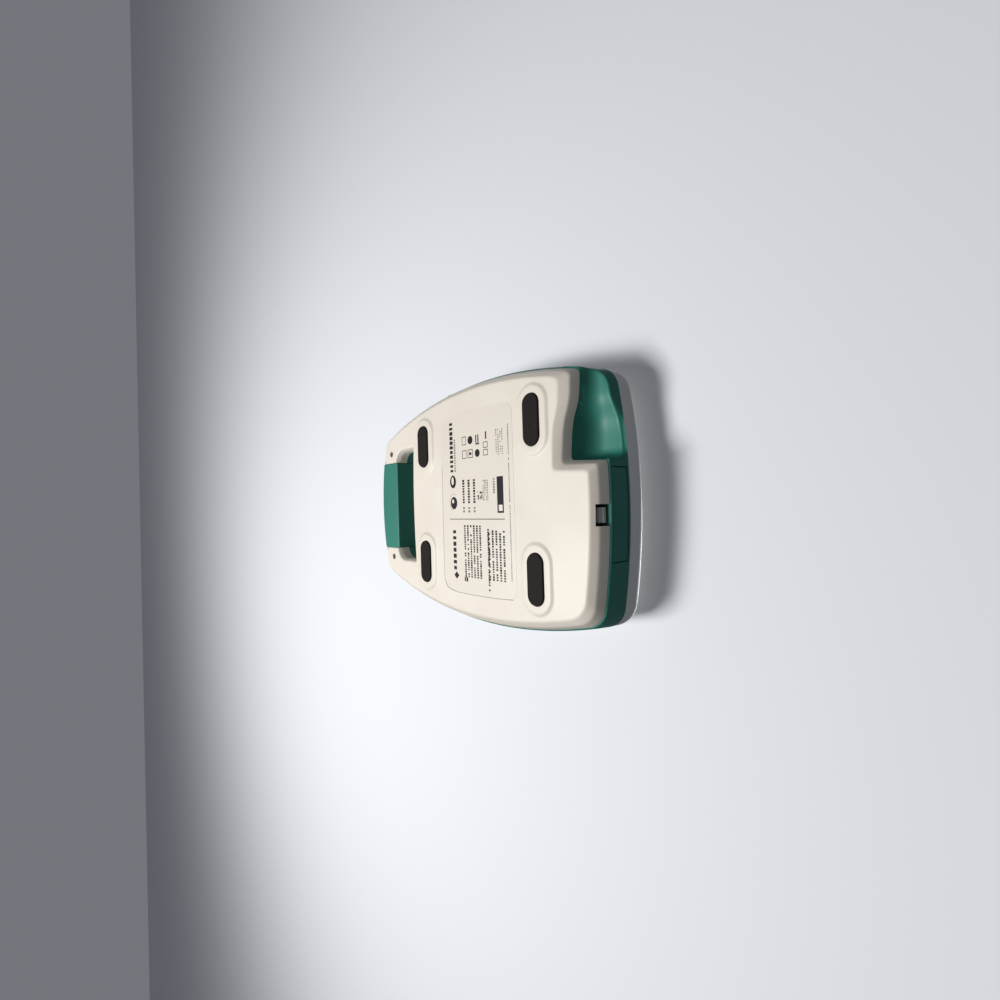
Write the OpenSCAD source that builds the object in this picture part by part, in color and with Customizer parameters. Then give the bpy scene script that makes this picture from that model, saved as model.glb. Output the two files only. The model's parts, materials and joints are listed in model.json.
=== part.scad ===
// Portable ultrasound bladder scanner console, without its probe.
// It stands on four rubber feet at z = 0 with the screen facing +Z.
// The carrying handle is at +Y, the user sits at -Y, and +X is the user's right.

/* [Case outline] */
// Widest half width of the case rim, just above the chamfered base
rim_half_w = 102.5; // [98:0.5:106]
// Where along Y the rim is widest
rim_wide_y = -20; // [-30:1:-10]
// Radius of each bowed side
side_r = 400; // [360:10:480]
// Front edge of the rim, at the middle
rim_front_y = -138.5; // [-140:0.5:-137]
// Handle edge of the rim, at the middle
rim_back_y = 145.1; // [144:0.1:146]
// Radius of the bowed front edge
front_r = 480; // [400:10:600]
// Radius of the bowed handle edge
back_r = 250; // [220:10:320]
// Corner radius at the front
front_corner_r = 19; // [14:1:22]
// Corner radius at the handle end
back_corner_r = 11; // [8:1:14]

/* [Case layers] */
// Height of the flat base plate above the surface the feet stand on
base_z = 3; // [2.6:0.1:3.4]
// Top of the sloped edge round the base plate
rim_z = 8; // [7:0.5:9]
// Seam between the rear shell and the green middle band
seam_low_z = 16; // [15.5:0.5:16.5]
// Seam between the middle band and the screen-side shell
seam_high_z = 36; // [35.5:0.5:36.5]
// Overall height
case_h = 68; // [67.5:0.5:69]

/* [Handle] */
// Half width of the hand slot
slot_half_w = 55.5; // [52:0.5:57]
// Body-side edge of the hand slot
slot_y0 = 83; // [82:0.5:84]
// Grip-side edge of the hand slot
slot_y1 = 113; // [111:0.5:115]
// Half length of the green grip
grip_half_w = 45; // [42:0.5:48]

/* [Feet] */
// Length of a foot
foot_l = 40; // [36:1:42]
// Width of a foot
foot_w = 16; // [14:1:18]
// Sideways offset of the feet at the handle end
back_foot_x = 55.7; // [54:0.1:57]
// Y of the feet at the handle end
back_foot_y = 60.2; // [58:0.1:62]
// Sideways offset of the feet at the front
front_foot_x = 60.1; // [58:0.1:62]
// Y of the feet at the front
front_foot_y = -83.7; // [-85:0.1:-82]

/* [Battery] */
// Middle of the battery bay across the case
battery_x = 12.5; // [11:0.5:14]
// Width of the battery pack
battery_w = 64; // [60:1:65]
// Length of the battery pack inside the case
battery_l = 88; // [80:1:90]

/* [Printer] */
// Outer radius of the paper roll
roll_r = 16; // [14:0.5:16.5]
// Width of the paper
paper_w = 57; // [50:1:58]

/* [Hidden] */
$fn = 48;
slice = 0.1;
wall = 2.8;
cream = [0.88, 0.85, 0.78];
green = [0.09, 0.42, 0.36];
off_white = [0.84, 0.85, 0.84];
dark = [0.10, 0.09, 0.09];
steel = [0.70, 0.71, 0.73];
board_green = [0.07, 0.35, 0.16];
cavity_back_y = 79;
notch_x = -26;
slot_r = 12;
screen_x = 52;
screen_y0 = -60;
screen_y1 = 14;
screen_rim = 8;
window_t = 1.5;
roof_z = 65.3;
soft_key_y = -78;
round_key_y = -98;
soft_key_xs = [-42, -14, 14, 42];
key_low_z = 62.9;
key_top_z = 69;
key_flange_t = 1.2;
board_z = 38;
board_t = 1.6;
bay_x = 33;
bay_y0 = 41;
bay_y1 = 78;
bay_z0 = 24;
roll_y = 59.5;
roll_z = 43.5;
core_r = 6;
platen_r = 5;
platen_y = 33.5;
platen_z = 58;
gear_m = 0.6;
platen_teeth = 20;
pinion_teeth = 10;
motor_y = platen_y;
motor_z = platen_z - gear_m * (platen_teeth + pinion_teeth) / 2 - 0.25;
hinge_y = 77.5;
hinge_z = 64.6;
pin_r = 1;
door_y0 = 42;
latch_x = 12.5;
latch_pin_y = -122;
latch_pin_z = 11.5;
pack_z0 = 18;
pack_z1 = 34;
rail_h = 2;
// [height, growth] of the shells, from the lowest level up; the rooms are their hollows
rear_levels = [[base_z, -5], [rim_z, 0], [seam_low_z, 3]];
rear_room = [[base_z + wall, -8.5], [rim_z + 2, -2.8], [seam_low_z + 1, 0.4]];
band_levels = [[seam_low_z, 3.4], [20, 4.6], [seam_high_z, 6.5]];
band_room = [[seam_low_z - 1, 0.4], [seam_high_z + 1, 3.4]];
front_levels = [[seam_high_z, 6.1], [46, 7], [55, 4], [61, -2], [65.5, -11], [case_h, -22]];
front_room = [[seam_high_z - 1, 3.3], [46, 4.2], [54, 1.2], [59, -5], [62.6, -14], [roof_z, -25]];
// The top slopes down from here to the handle end
slope_y = 84;
slope_end = [160, 48];
band_notch_y = -104;
foot_margin = 6;
seal_w = 1.2;
seal_low_e = 0.7;
seal_high_e = 3.6;
insert_r = 1.25;
soft_key_half = [9, 4.5];
small_key_r = 7;
scan_key_r = 9;
small_key_x = 42;
key_gap = 0.3;
key_flange_w = 1.5;
film_t = 0.6;
speaker_r = 11;
socket_r = 8;
socket_flange_r = 8.9;
socket_bore_r = 5;
socket_face_x = -102.4;
usb_half_w = 7;
usb_half_h = 4;
door_half_w = 33.2;
door_gap = 0.4;
door_mouth_y = 39.4;
door_arm_x = 31.2;
gear_x0 = 33.3;
gear_x1 = 35.6;
pack_step_y = -117;
pack_back_y = -134 + battery_l - 0.5;
neck_z = 26.5;
bowl_z = 35.2;
lip_y = -143.5;
socket_y = 36;
socket_z = 26;
speaker_x = -50;
speaker_y = 37;
grip_rod_y = 131;
grip_rod_z = 27;
handle_screw_x = 54.6;
handle_screw_y = 123;
feet = [[back_foot_x, back_foot_y], [-back_foot_x, back_foot_y],
  [front_foot_x, front_foot_y], [-front_foot_x, front_foot_y]];
main_screws = [[71, -30], [-71, -30], [71, 16], [-71, 16]];
sound_screws = [[52, -36], [-52, -36], [52, 26], [-52, 26]];

// ---- outline of the case, grown outwards by e ----
// The right half is five tangent arcs: front edge, front corner, bowed side, back corner, back edge.
// The back edge moves less than the rest, so the handle end is steeper.
side_c = [rim_half_w - side_r, rim_wide_y];
front_c = [0, rim_front_y + front_r];
back_c = [0, rim_back_y - back_r];
back_growth = 0.4;
function arc(c, r, a0, a1, n) = [for (i = [0:n - 1]) let (a = a0 + (a1 - a0) * i / n)
  c + r * [cos(a), sin(a)]];
function bearing(v) = atan2(v[1], v[0]);
// Point at distance ra from a and rb from b, on the left of the line from a to b when s is 1
function meet(a, ra, b, rb, s) = let (d = norm(b - a), u = (b - a) / d,
  k = (d * d + ra * ra - rb * rb) / (2 * d), h = sqrt(ra * ra - k * k))
  a + k * u + s * h * [-u[1], u[0]];
function right_half(e) = let (
  back_e = e < -6 ? e + 3 : e < 0 ? e / 2 : min(e, back_growth),
  fc = meet(side_c, side_r + e - front_corner_r, front_c, front_r + e - front_corner_r, -1),
  bc = meet(side_c, side_r + e - back_corner_r, back_c, back_r + back_e - back_corner_r, 1),
  a1 = bearing(fc - front_c), a2 = bearing(fc - side_c),
  a3 = bearing(bc - side_c), a4 = bearing(bc - back_c))
  concat(arc(front_c, front_r + e, -90, a1, 7), arc(fc, front_corner_r, a1, a2, 8),
    arc(side_c, side_r + e, a2, a3, 18), arc(bc, back_corner_r, a3, a4, 6),
    arc(back_c, back_r + back_e, a4, 90, 5), [[0, back_c[1] + back_r + back_e]]);
function outline(e) = let (h = right_half(e), n = len(h))
  concat(h, [for (i = [n - 2:-1:1]) [-h[i][0], h[i][1]]]);
module case_outline(e) {
  polygon(outline(e));
}
// steps is a list of [height, growth], from the lowest up
module lofted(steps) {
  n = len(outline(0));
  top = (len(steps) - 1) * n;
  polyhedron(
    points = [for (s = steps) each [for (p = outline(s[1])) [p[0], p[1], s[0]]]],
    faces = concat([[for (i = [0:n - 1]) i]], [[for (i = [n - 1:-1:0]) top + i]],
      [for (k = [0:len(steps) - 2], i = [0:n - 1]) let (j = (i + 1) % n)
        each [[k * n + i, (k + 1) * n + i, (k + 1) * n + j], [k * n + i, (k + 1) * n + j, k * n + j]]]));
}
module racetrack(l, w, h) {
  translate([-(l - w) / 2, -w / 2, 0]) cube([l - w, w, h]);
  for (s = [-1, 1]) translate([s * (l - w) / 2, 0, 0]) cylinder(d = w, h = h);
}
module block(x0, x1, y0, y1, z0, z1) {
  translate([x0, y0, z0]) cube([x1 - x0, y1 - y0, z1 - z0]);
}
module rod_x(x0, x1, y, z, r) {
  translate([x0, y, z]) rotate([0, 90, 0]) cylinder(r = r, h = x1 - x0);
}
module post(x, y, z0, z1, r) {
  translate([x, y, z0]) cylinder(r = r, h = z1 - z0);
}
module hand_slot(grow = 0) {
  y0 = slot_y0 - grow;
  y1 = slot_y1 + grow;
  x = slot_half_w + grow;
  translate([0, 0, -1]) {
    block(-x, x, y0, y1 - slot_r, 0, case_h + 4);
    block(-x + slot_r, x - slot_r, y1 - slot_r - 1, y1, 0, case_h + 4);
    for (s = [-1, 1]) post(s * (x - slot_r), y1 - slot_r, 0, case_h + 4, slot_r);
  }
}
module grip_gap() {
  block(-grip_half_w - 0.05, grip_half_w + 0.05, slot_y1 - 12, 160, -1, case_h + 4);
}
// The corner that is cut away for the probe, widened by e
module notch_corner(e, z) {
  translate([0, 0, z]) linear_extrude(slice)
    polygon([[-130, -119.7 + e], [-73, -118.4 + e], [-58, -113 + e], [-58, -170], [-130, -170]]);
}
module notch_inner(e, z) {
  translate([0, 0, z]) linear_extrude(slice) polygon([[-60, -113.8 + e], [-42, -110.8 + e],
    [notch_x - 4 + e / 2, -110.3 + e], [notch_x + e, -114 + e / 2], [notch_x + e, -170], [-60, -170]]);
}
module probe_notch() {
  hull() {
    notch_corner(7, base_z - 0.1);
    notch_corner(0, rim_z);
    notch_corner(-1, seam_low_z + slice);
  }
  hull() {
    notch_inner(8, base_z - 0.1);
    notch_inner(1, rim_z);
    notch_inner(0, seam_low_z + slice);
  }
}
module band_notch() {
  translate([0, 0, seam_low_z - 1]) linear_extrude(seam_high_z - seam_low_z + 2)
    polygon([[-130, band_notch_y], [notch_x, band_notch_y], [notch_x, -170], [-130, -170]]);
}
// Room inside the case, short of the hand slot and of the walls round the probe notch
module inside(notch_y, t) {
  difference() {
    block(-130, 130, -150, cavity_back_y, 0, 80);
    block(-131, notch_x + t, -151, -notch_y, -1, 81);
  }
}

// ---- case ----
module rear_shell() {
  color(cream) difference() {
    union() {
      difference() {
        lofted(rear_levels);
        intersection() {
          lofted(rear_room);
          inside(101, wall);
        }
      }
      for (p = feet) translate([p[0], p[1], base_z - 1])
        racetrack(foot_l + 2 * foot_margin, foot_w + 2 * foot_margin, 1.5);
      for (p = feet) post(p[0], p[1], base_z + 1, seam_high_z - 1, 5);
      for (p = sound_screws) post(p[0], p[1], base_z + 1, 10, 3);
      for (s = [-1, 1]) block(latch_x + s * 8 - 1, latch_x + s * 8 + 1, latch_pin_y - 3,
        latch_pin_y + 3, base_z + 1, latch_pin_z + 2.5);
    }
    for (p = feet) {
      translate([p[0], p[1], base_z - 2]) racetrack(foot_l + 0.2, foot_w + 0.2, 2.5);
      post(p[0], p[1], 0, 6, 3.4);
      post(p[0], p[1], 0, seam_high_z, 1.7);
    }
    probe_notch();
    hand_slot();
    grip_gap();
    rod_x(latch_x - 12, latch_x + 12, latch_pin_y, latch_pin_z, pin_r);
    block(latch_x - 7.5, latch_x + 7.5, -150, -129, rim_z - 2, seam_low_z + 1);
    for (p = sound_screws) post(p[0], p[1], 5, 11, 1.05);
    for (s = [-1, 1]) {
      post(s * handle_screw_x, handle_screw_y, 0, seam_low_z + 1, 1.6);
      post(s * handle_screw_x, handle_screw_y, 0, base_z + 3, 3);
    }
  }
}
module middle_band() {
  color(green) difference() {
    lofted(band_levels);
    intersection() {
      lofted(band_room);
      inside(-band_notch_y - 2, 2);
    }
    band_notch();
    hand_slot();
    grip_gap();
    block(battery_x - battery_w / 2 - 2, battery_x + battery_w / 2 + 2, -150, -134,
      pack_z0 - 0.6, pack_z1 + 0.6);
    seal_ring(seam_low_z - 0.1, 1.1, seal_low_e);
    seal_ring(seam_high_z - 1, 1.1, seal_high_e);
    rod_x(-115, socket_face_x + 14.6, socket_y, socket_z, socket_r + 0.05);
    rod_x(-115, socket_face_x, socket_y, socket_z, socket_flange_r + 0.1);
    block(90, 115, socket_y - usb_half_w - 1, socket_y + usb_half_w + 1, socket_z - usb_half_h - 1,
      socket_z + usb_half_h + 1);
    for (s = [-1, 1]) {
      post(s * handle_screw_x, handle_screw_y, 10, seam_high_z - 4, insert_r);
      rod_x(s > 0 ? 40 : -66, s > 0 ? 66 : -40, grip_rod_y, grip_rod_z, 4.05);
    }
  }
}
module seal_ring(z, h, e) {
  translate([0, 0, z]) linear_extrude(h) difference() {
    case_outline(e + seal_w);
    case_outline(e);
    translate([-150, cavity_back_y - 12]) square([300, 150]);
    translate([-150, -170]) square([154 + notch_x, 72]);
    translate([battery_x - battery_w / 2 - 4, -170]) square([battery_w + 8, 60]);
  }
}
module lower_seal() {
  color(dark) seal_ring(seam_low_z, 1, seal_low_e);
}
module upper_seal() {
  color(dark) seal_ring(seam_high_z - 1, 1, seal_high_e);
}
module side_profile(drop, z0) {
  rotate([90, 0, 90]) translate([0, 0, -130]) linear_extrude(260)
    polygon([[-160, z0], [160, z0], [slope_end[0], slope_end[1] - drop], [slope_y, case_h - drop],
      [-160, case_h - drop]]);
}
module key_hole(x) {
  block(x - soft_key_half[0] - key_gap, x + soft_key_half[0] + key_gap, soft_key_y - soft_key_half[1] - key_gap,
    soft_key_y + soft_key_half[1] + key_gap, 60, 80);
}
module round_key_holes() {
  for (x = [-small_key_x, small_key_x]) post(x, round_key_y, 60, 80, small_key_r + key_gap);
  post(0, round_key_y, 60, 80, scan_key_r + key_gap);
}
module front_shell() {
  color(off_white) difference() {
    union() {
      difference() {
        intersection() {
          lofted(front_levels);
          side_profile(0, seam_high_z);
        }
        intersection() {
          lofted(front_room);
          block(-130, 130, -150, cavity_back_y, 0, 80);
        }
      }
      for (p = feet) post(p[0], p[1], seam_high_z, roof_z + 1, 5);
      for (p = main_screws) post(p[0], p[1], board_z + board_t, roof_z + 1, 3);
      for (s = [-1, 1]) block(s * 37 - 1.5, s * 37 + 1.5, hinge_y - 3, hinge_y + 2, 56, roof_z + 1);
    }
    for (p = feet) post(p[0], p[1], seam_high_z - 1, 46, insert_r);
    for (p = main_screws) post(p[0], p[1], board_z, 47, 1.05);
    hand_slot();
    grip_gap();
    block(-screen_x, screen_x, screen_y0, screen_y1, 60, 80);
    block(-screen_x - screen_rim, screen_x + screen_rim, screen_y0 - screen_rim,
      screen_y1 + screen_rim, case_h - window_t, 80);
    block(-60, 60, -110, -70.5, case_h - film_t, 80);
    for (x = soft_key_xs) key_hole(x);
    round_key_holes();
    post(speaker_x, speaker_y, case_h - 1.6, 80, speaker_r + 0.05);
    post(speaker_x, speaker_y, 60, 80, speaker_r - 2);
    block(-door_half_w - door_gap, door_half_w + door_gap, door_mouth_y, hinge_y + 3.1, 60, 80);
    rod_x(-39.5, 39.5, hinge_y, hinge_z, pin_r);
  }
}
// One cross-section of the probe's hollow: back wall, rounded ceiling, and the lip at the front
module scoop_section(x, wall_y, apex_y, apex_z, lip_z) {
  mid_z = seam_low_z - 1;
  rise = apex_z - mid_z;
  translate([x, 0, 0]) rotate([90, 0, 90]) linear_extrude(slice) polygon(concat(
    [[wall_y, 0]],
    [for (i = [0:8]) [apex_y + (wall_y - apex_y) * cos(i * 11.25), mid_z + rise * sin(i * 11.25)]],
    [[(apex_y + lip_y) / 2, apex_z - (apex_z - lip_z) * 0.3], [lip_y, lip_z],
      [lip_y - 10, lip_z - (apex_z - lip_z)], [lip_y - 10, 0]]));
}
module scoop() {
  hull() {
    scoop_section(-130, -119.4, -130, neck_z, neck_z - 2.5);
    scoop_section(-69, -118.6, -130, neck_z, neck_z - 2.5);
  }
  hull() {
    scoop_section(-69, -118.6, -130, neck_z, neck_z - 2.5);
    scoop_section(-52, -110.9, -128, bowl_z, bowl_z - 2);
  }
  hull() {
    scoop_section(-52, -110.9, -128, bowl_z, bowl_z - 2);
    scoop_section(notch_x - 6, -110.4, -128, bowl_z, bowl_z - 2);
  }
  hull() {
    scoop_section(notch_x - 6, -110.4, -128, bowl_z, bowl_z - 2);
    scoop_section(notch_x - 1.6, -110.4, -128, bowl_z - 4, bowl_z - 6);
  }
}
module probe_cradle() {
  color(green) difference() {
    union() {
      intersection() {
        lofted([[seam_low_z + 0.05, 3], [20, 4.6], [seam_high_z - 0.1, 6.4]]);
        block(-130, notch_x - 0.05, -170, band_notch_y - 0.05, seam_low_z, seam_high_z);
      }
      intersection() {
        lofted([[seam_high_z - 1, 2], [seam_high_z + 2, 2]]);
        block(-80, notch_x - 1, -138, -106, seam_high_z - 1, seam_high_z + 1.6);
      }
    }
    scoop();
  }
}

// ---- handle ----
module handle_grip() {
  color(green) difference() {
    intersection() {
      lofted([[3.4, -1], [4.6, 0], [44, 0.3], [48, -1.5], [51, -6]]);
      block(-grip_half_w, grip_half_w, slot_y1, 160, 0, 60);
    }
    rod_x(-50, 50, grip_rod_y, grip_rod_z, 4.05);
    for (z = [3.4, 51]) translate([-50, slot_y1, z]) rotate([45, 0, 0]) cube([100, 4, 4], center = false);
  }
}
module handle_core() {
  color(steel) rod_x(-65, 65, grip_rod_y, grip_rod_z, 4);
}
module screw(x, y, z0, length, shank_r, head_r) {
  translate([x, y, z0]) difference() {
    union() {
      cylinder(r = shank_r, h = length);
      cylinder(r = head_r, h = 1.8);
    }
    translate([0, 0, -0.1]) cylinder(r = head_r * 0.45, h = 1.1, $fn = 6);
  }
}
module handle_screws() {
  color(steel) for (s = [-1, 1])
    screw(s * handle_screw_x, handle_screw_y, base_z + 1.2, 26, 1.25, 2.8);
}
module rubber_feet() {
  color(dark) for (p = feet) translate([p[0], p[1], 0]) racetrack(foot_l, foot_w, base_z + 0.5);
}
module case_screws() {
  color(steel) for (p = feet) screw(p[0], p[1], 4.2, 40, 1.25, 3.2);
}
module rating_label() {
  color([0.9, 0.88, 0.82]) translate([0, 0, base_z - 0.2]) linear_extrude(0.2)
    offset(r = 6) offset(delta = -6) polygon([[-76, 33.8], [76, 33.8], [81, 0], [79, -63], [-79, -63], [-81, 0]]);
}

// ---- battery ----
module battery_bay() {
  x0 = battery_x - battery_w / 2 - 1.8;
  x1 = battery_x + battery_w / 2 + 1.8;
  color([0.2, 0.2, 0.2]) difference() {
    block(x0, x1, -133.5, -133.5 + battery_l + 4, pack_z0 - 1.8, pack_z1 + 1.6);
    block(x0 + 1.4, x1 - 1.4, -150, -133.5 + battery_l + 2, pack_z0 - 0.4, pack_z1 + 0.4);
    block(latch_x - 4, latch_x + 4, -150, -100, pack_z0 - 3, pack_z0);
    for (i = [-1, 0, 1]) block(battery_x + i * 8 - 1.6, battery_x + i * 8 + 1.6, -50, -35, 23, 29);
  }
}
// The green face of the battery pack, with the hollow block behind it
module battery_cap() {
  x0 = battery_x - battery_w / 2;
  x1 = battery_x + battery_w / 2;
  color(green) difference() {
    union() {
      block(x0, x1, -134, pack_step_y, pack_z0, pack_z1);
      intersection() {
        lofted([[20, 4.4], [seam_high_z - 3, 6]]);
        block(x0 - 1, x1 + 1, -150, -133.9, pack_z0, pack_z1);
      }
    }
    block(x0 + 2, x1 - 2, -132, pack_step_y + 1, pack_z0 + rail_h, pack_z1 - 1.5);
  }
}
module battery_pack() {
  x0 = battery_x - battery_w / 2;
  x1 = battery_x + battery_w / 2;
  color([0.16, 0.17, 0.18]) difference() {
    block(x0, x1, pack_step_y, pack_back_y, pack_z0 + rail_h, pack_z1);
    block(x0 + 2, x1 - 2, pack_step_y + 2, pack_back_y - 2, pack_z0 + rail_h + 1.2, pack_z1 - 1.5);
  }
}
// The pack slides on two rails, and the latch's hook runs between them
module battery_rails() {
  color([0.16, 0.17, 0.18]) {
    block(battery_x - battery_w / 2, latch_x - 3.4, pack_step_y, pack_back_y, pack_z0, pack_z0 + rail_h);
    block(latch_x + 3.4, battery_x + battery_w / 2, pack_step_y, pack_back_y, pack_z0, pack_z0 + rail_h);
  }
}
module battery_cells() {
  cell_l = (pack_back_y - pack_step_y - 6) / 2;
  color([0.25, 0.4, 0.65]) for (i = [0, 1], j = [0, 1])
    block(battery_x - 29 + i * 29.5, battery_x - 29 + i * 29.5 + 28.5, pack_step_y + 2.4 + j * (cell_l + 1),
      pack_step_y + 2.4 + j * (cell_l + 1) + cell_l, pack_z0 + rail_h + 1.3, pack_z1 - 1.7);
}
module battery_contacts() {
  color([0.85, 0.7, 0.35]) for (i = [-1, 0, 1])
    block(battery_x + i * 8 - 1.2, battery_x + i * 8 + 1.2, -46, -38, 23.4, 28.6);
}
module battery_latch() {
  color([0.75, 0.75, 0.72]) difference() {
    union() {
      block(latch_x - 5.5, latch_x + 5.5, -136.2, latch_pin_y, latch_pin_z - 0.6, latch_pin_z + 1.4);
      block(latch_x - 5.5, latch_x + 5.5, -138.6, -136, latch_pin_z + 0.4, latch_pin_z + 3.8);
      rod_x(latch_x - 5.5, latch_x + 5.5, latch_pin_y, latch_pin_z, 2.4);
      block(latch_x - 2.8, latch_x + 2.8, latch_pin_y, -112.5, latch_pin_z - 1.2, latch_pin_z + 1.2);
      block(latch_x - 2.8, latch_x + 2.8, -115, -112.5, latch_pin_z - 1.2, pack_z0 + 1);
    }
    rod_x(latch_x - 8, latch_x + 8, latch_pin_y, latch_pin_z, pin_r + 0.05);
  }
}
module latch_pin() {
  color(steel) rod_x(latch_x - 9, latch_x + 9, latch_pin_y, latch_pin_z, pin_r - 0.02);
}

// ---- electronics ----
module main_board() {
  color(board_green) difference() {
    block(-78, 78, -98, 24, board_z, board_z + board_t);
    for (p = feet) post(p[0], p[1], board_z - 1, board_z + 3, 6);
    for (p = main_screws) post(p[0], p[1], board_z - 1, board_z + 3, 1.3);
  }
}
module board_chips() {
  color(dark) {
    block(-14, 14, -40, -12, board_z + board_t, board_z + board_t + 3);
    block(-50, -34, -20, -8, board_z + board_t, board_z + board_t + 2);
    block(30, 52, -30, -14, board_z + board_t, board_z + board_t + 2.5);
    for (i = [0:3]) post(-54 + i * 9, 8, board_z + board_t, board_z + board_t + 8, 3);
    for (i = [0:5]) block(20 + i * 7, 24 + i * 7, 0, 6, board_z + board_t, board_z + board_t + 1.5);
  }
}
module board_screws() {
  color(steel) for (p = main_screws) screw(p[0], p[1], board_z - 1.8, 9, 1.05, 2.4);
}
module ultrasound_board() {
  color(board_green) difference() {
    block(-58, 58, -42, 30, 10, 11.6);
    for (p = sound_screws) post(p[0], p[1], 9, 12, 1.3);
  }
}
module ultrasound_chips() {
  color(steel) {
    block(-40, 0, -30, 15, 11.6, 15);
    for (i = [0:4]) block(10 + i * 8, 15 + i * 8, -20, -12, 11.6, 13.4);
    block(14, 40, 4, 14, 11.6, 14.5);
  }
}
module ultrasound_screws() {
  color(steel) for (p = sound_screws) translate([p[0], p[1], 0]) {
    translate([0, 0, 7]) cylinder(r = 1.05, h = 5.5);
    translate([0, 0, 11.6]) cylinder(r = 2.2, h = 1.6);
  }
}
module probe_socket() {
  color(steel) difference() {
    union() {
      rod_x(socket_face_x - 0.4, socket_face_x + 16.6, socket_y, socket_z, socket_r);
      rod_x(socket_face_x - 1.4, socket_face_x, socket_y, socket_z, socket_flange_r);
    }
    rod_x(-110, socket_face_x + 12.6, socket_y, socket_z, socket_bore_r);
    for (i = [0:5]) rod_x(socket_face_x + 11.6, socket_face_x + 17.6, socket_y + 2.8 * cos(60 * i),
      socket_z + 2.8 * sin(60 * i), 0.5);
  }
}
module socket_nut() {
  color(steel) difference() {
    translate([socket_face_x + 9.1, socket_y, socket_z]) rotate([0, 90, 0]) cylinder(r = 11, h = 3, $fn = 6);
    rod_x(-97, -85, socket_y, socket_z, socket_r + 0.02);
  }
}
module usb_port() {
  color(steel) difference() {
    block(86, 104.5, socket_y - usb_half_w, socket_y + usb_half_w, socket_z - usb_half_h, socket_z + usb_half_h);
    block(90, 110, socket_y - usb_half_w + 1, socket_y + usb_half_w - 1, socket_z - usb_half_h + 1.6,
      socket_z + usb_half_h - 1.6);
  }
}
module speaker() {
  color(dark) {
    post(speaker_x, speaker_y, 58, roof_z - 0.3, speaker_r - 0.5);
    post(speaker_x, speaker_y, 54, 58, 6);
  }
}
module speaker_grille() {
  color([0.3, 0.3, 0.3]) difference() {
    post(speaker_x, speaker_y, case_h - 1.6, case_h, speaker_r);
    post(speaker_x, speaker_y, case_h - 2, case_h + 1, 0.8);
    for (ring = [1:3], k = [0:6 * ring - 1])
      post(speaker_x + 2.7 * ring * cos(60 * k / ring), speaker_y + 2.7 * ring * sin(60 * k / ring),
        case_h - 2, case_h + 1, 0.8);
  }
}

// ---- screen ----
module display_window() {
  color([0.5, 0.6, 0.65]) block(-screen_x - screen_rim + 0.1, screen_x + screen_rim - 0.1,
    screen_y0 - screen_rim + 0.1, screen_y1 + screen_rim - 0.1, case_h - window_t, case_h - 0.1);
}
module display_gasket() {
  color(dark) difference() {
    block(-screen_x - 5, screen_x + 5, screen_y0 - 5, screen_y1 + 5, 63.4, roof_z);
    block(-screen_x, screen_x, screen_y0, screen_y1, 60, 70);
  }
}
module display_module() {
  color([0.25, 0.3, 0.33]) block(-screen_x - 5, screen_x + 5, screen_y0 - 5, screen_y1 + 5, 56, 63.4);
}
module display_ribbon() {
  color([0.8, 0.6, 0.3]) block(-12, 12, screen_y0 - 5.4, screen_y0 - 5.1, board_z + board_t, 60);
}

// ---- keys ----
module keypad_overlay() {
  color([0.15, 0.35, 0.45]) difference() {
    block(-59.9, 59.9, -109.9, -70.6, case_h - film_t, case_h);
    for (x = soft_key_xs) key_hole(x);
    round_key_holes();
  }
}
module keypad_board() {
  color(board_green) difference() {
    block(-70, 70, -110, -68, 59, 60.4);
    for (p = feet) post(p[0], p[1], 50, 70, 6);
  }
}
module key_domes() {
  color(steel) {
    for (x = soft_key_xs) post(x, soft_key_y, 60.4, 61.3, 3.5);
    for (x = [-small_key_x, 0, small_key_x]) post(x, round_key_y, 60.4, 61.3, 4);
  }
}
module soft_key(x) {
  color([0.8, 0.82, 0.82]) {
    for (f = [[0, key_top_z], [key_flange_w, key_low_z + key_flange_t]])
      block(x - soft_key_half[0] - f[0], x + soft_key_half[0] + f[0], soft_key_y - soft_key_half[1] - f[0],
        soft_key_y + soft_key_half[1] + f[0], key_low_z, f[1]);
  }
}
module round_key(x, r, c) {
  color(c) {
    post(x, round_key_y, key_low_z, key_top_z, r);
    post(x, round_key_y, key_low_z, key_low_z + key_flange_t, r + key_flange_w);
  }
}
module soft_key_1() { soft_key(soft_key_xs[0]); }
module soft_key_2() { soft_key(soft_key_xs[1]); }
module soft_key_3() { soft_key(soft_key_xs[2]); }
module soft_key_4() { soft_key(soft_key_xs[3]); }
module power_key() { round_key(-small_key_x, small_key_r, [0.75, 0.78, 0.78]); }
module scan_key() { round_key(0, scan_key_r, green); }
module print_key() { round_key(small_key_x, small_key_r, [0.75, 0.78, 0.78]); }

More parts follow.
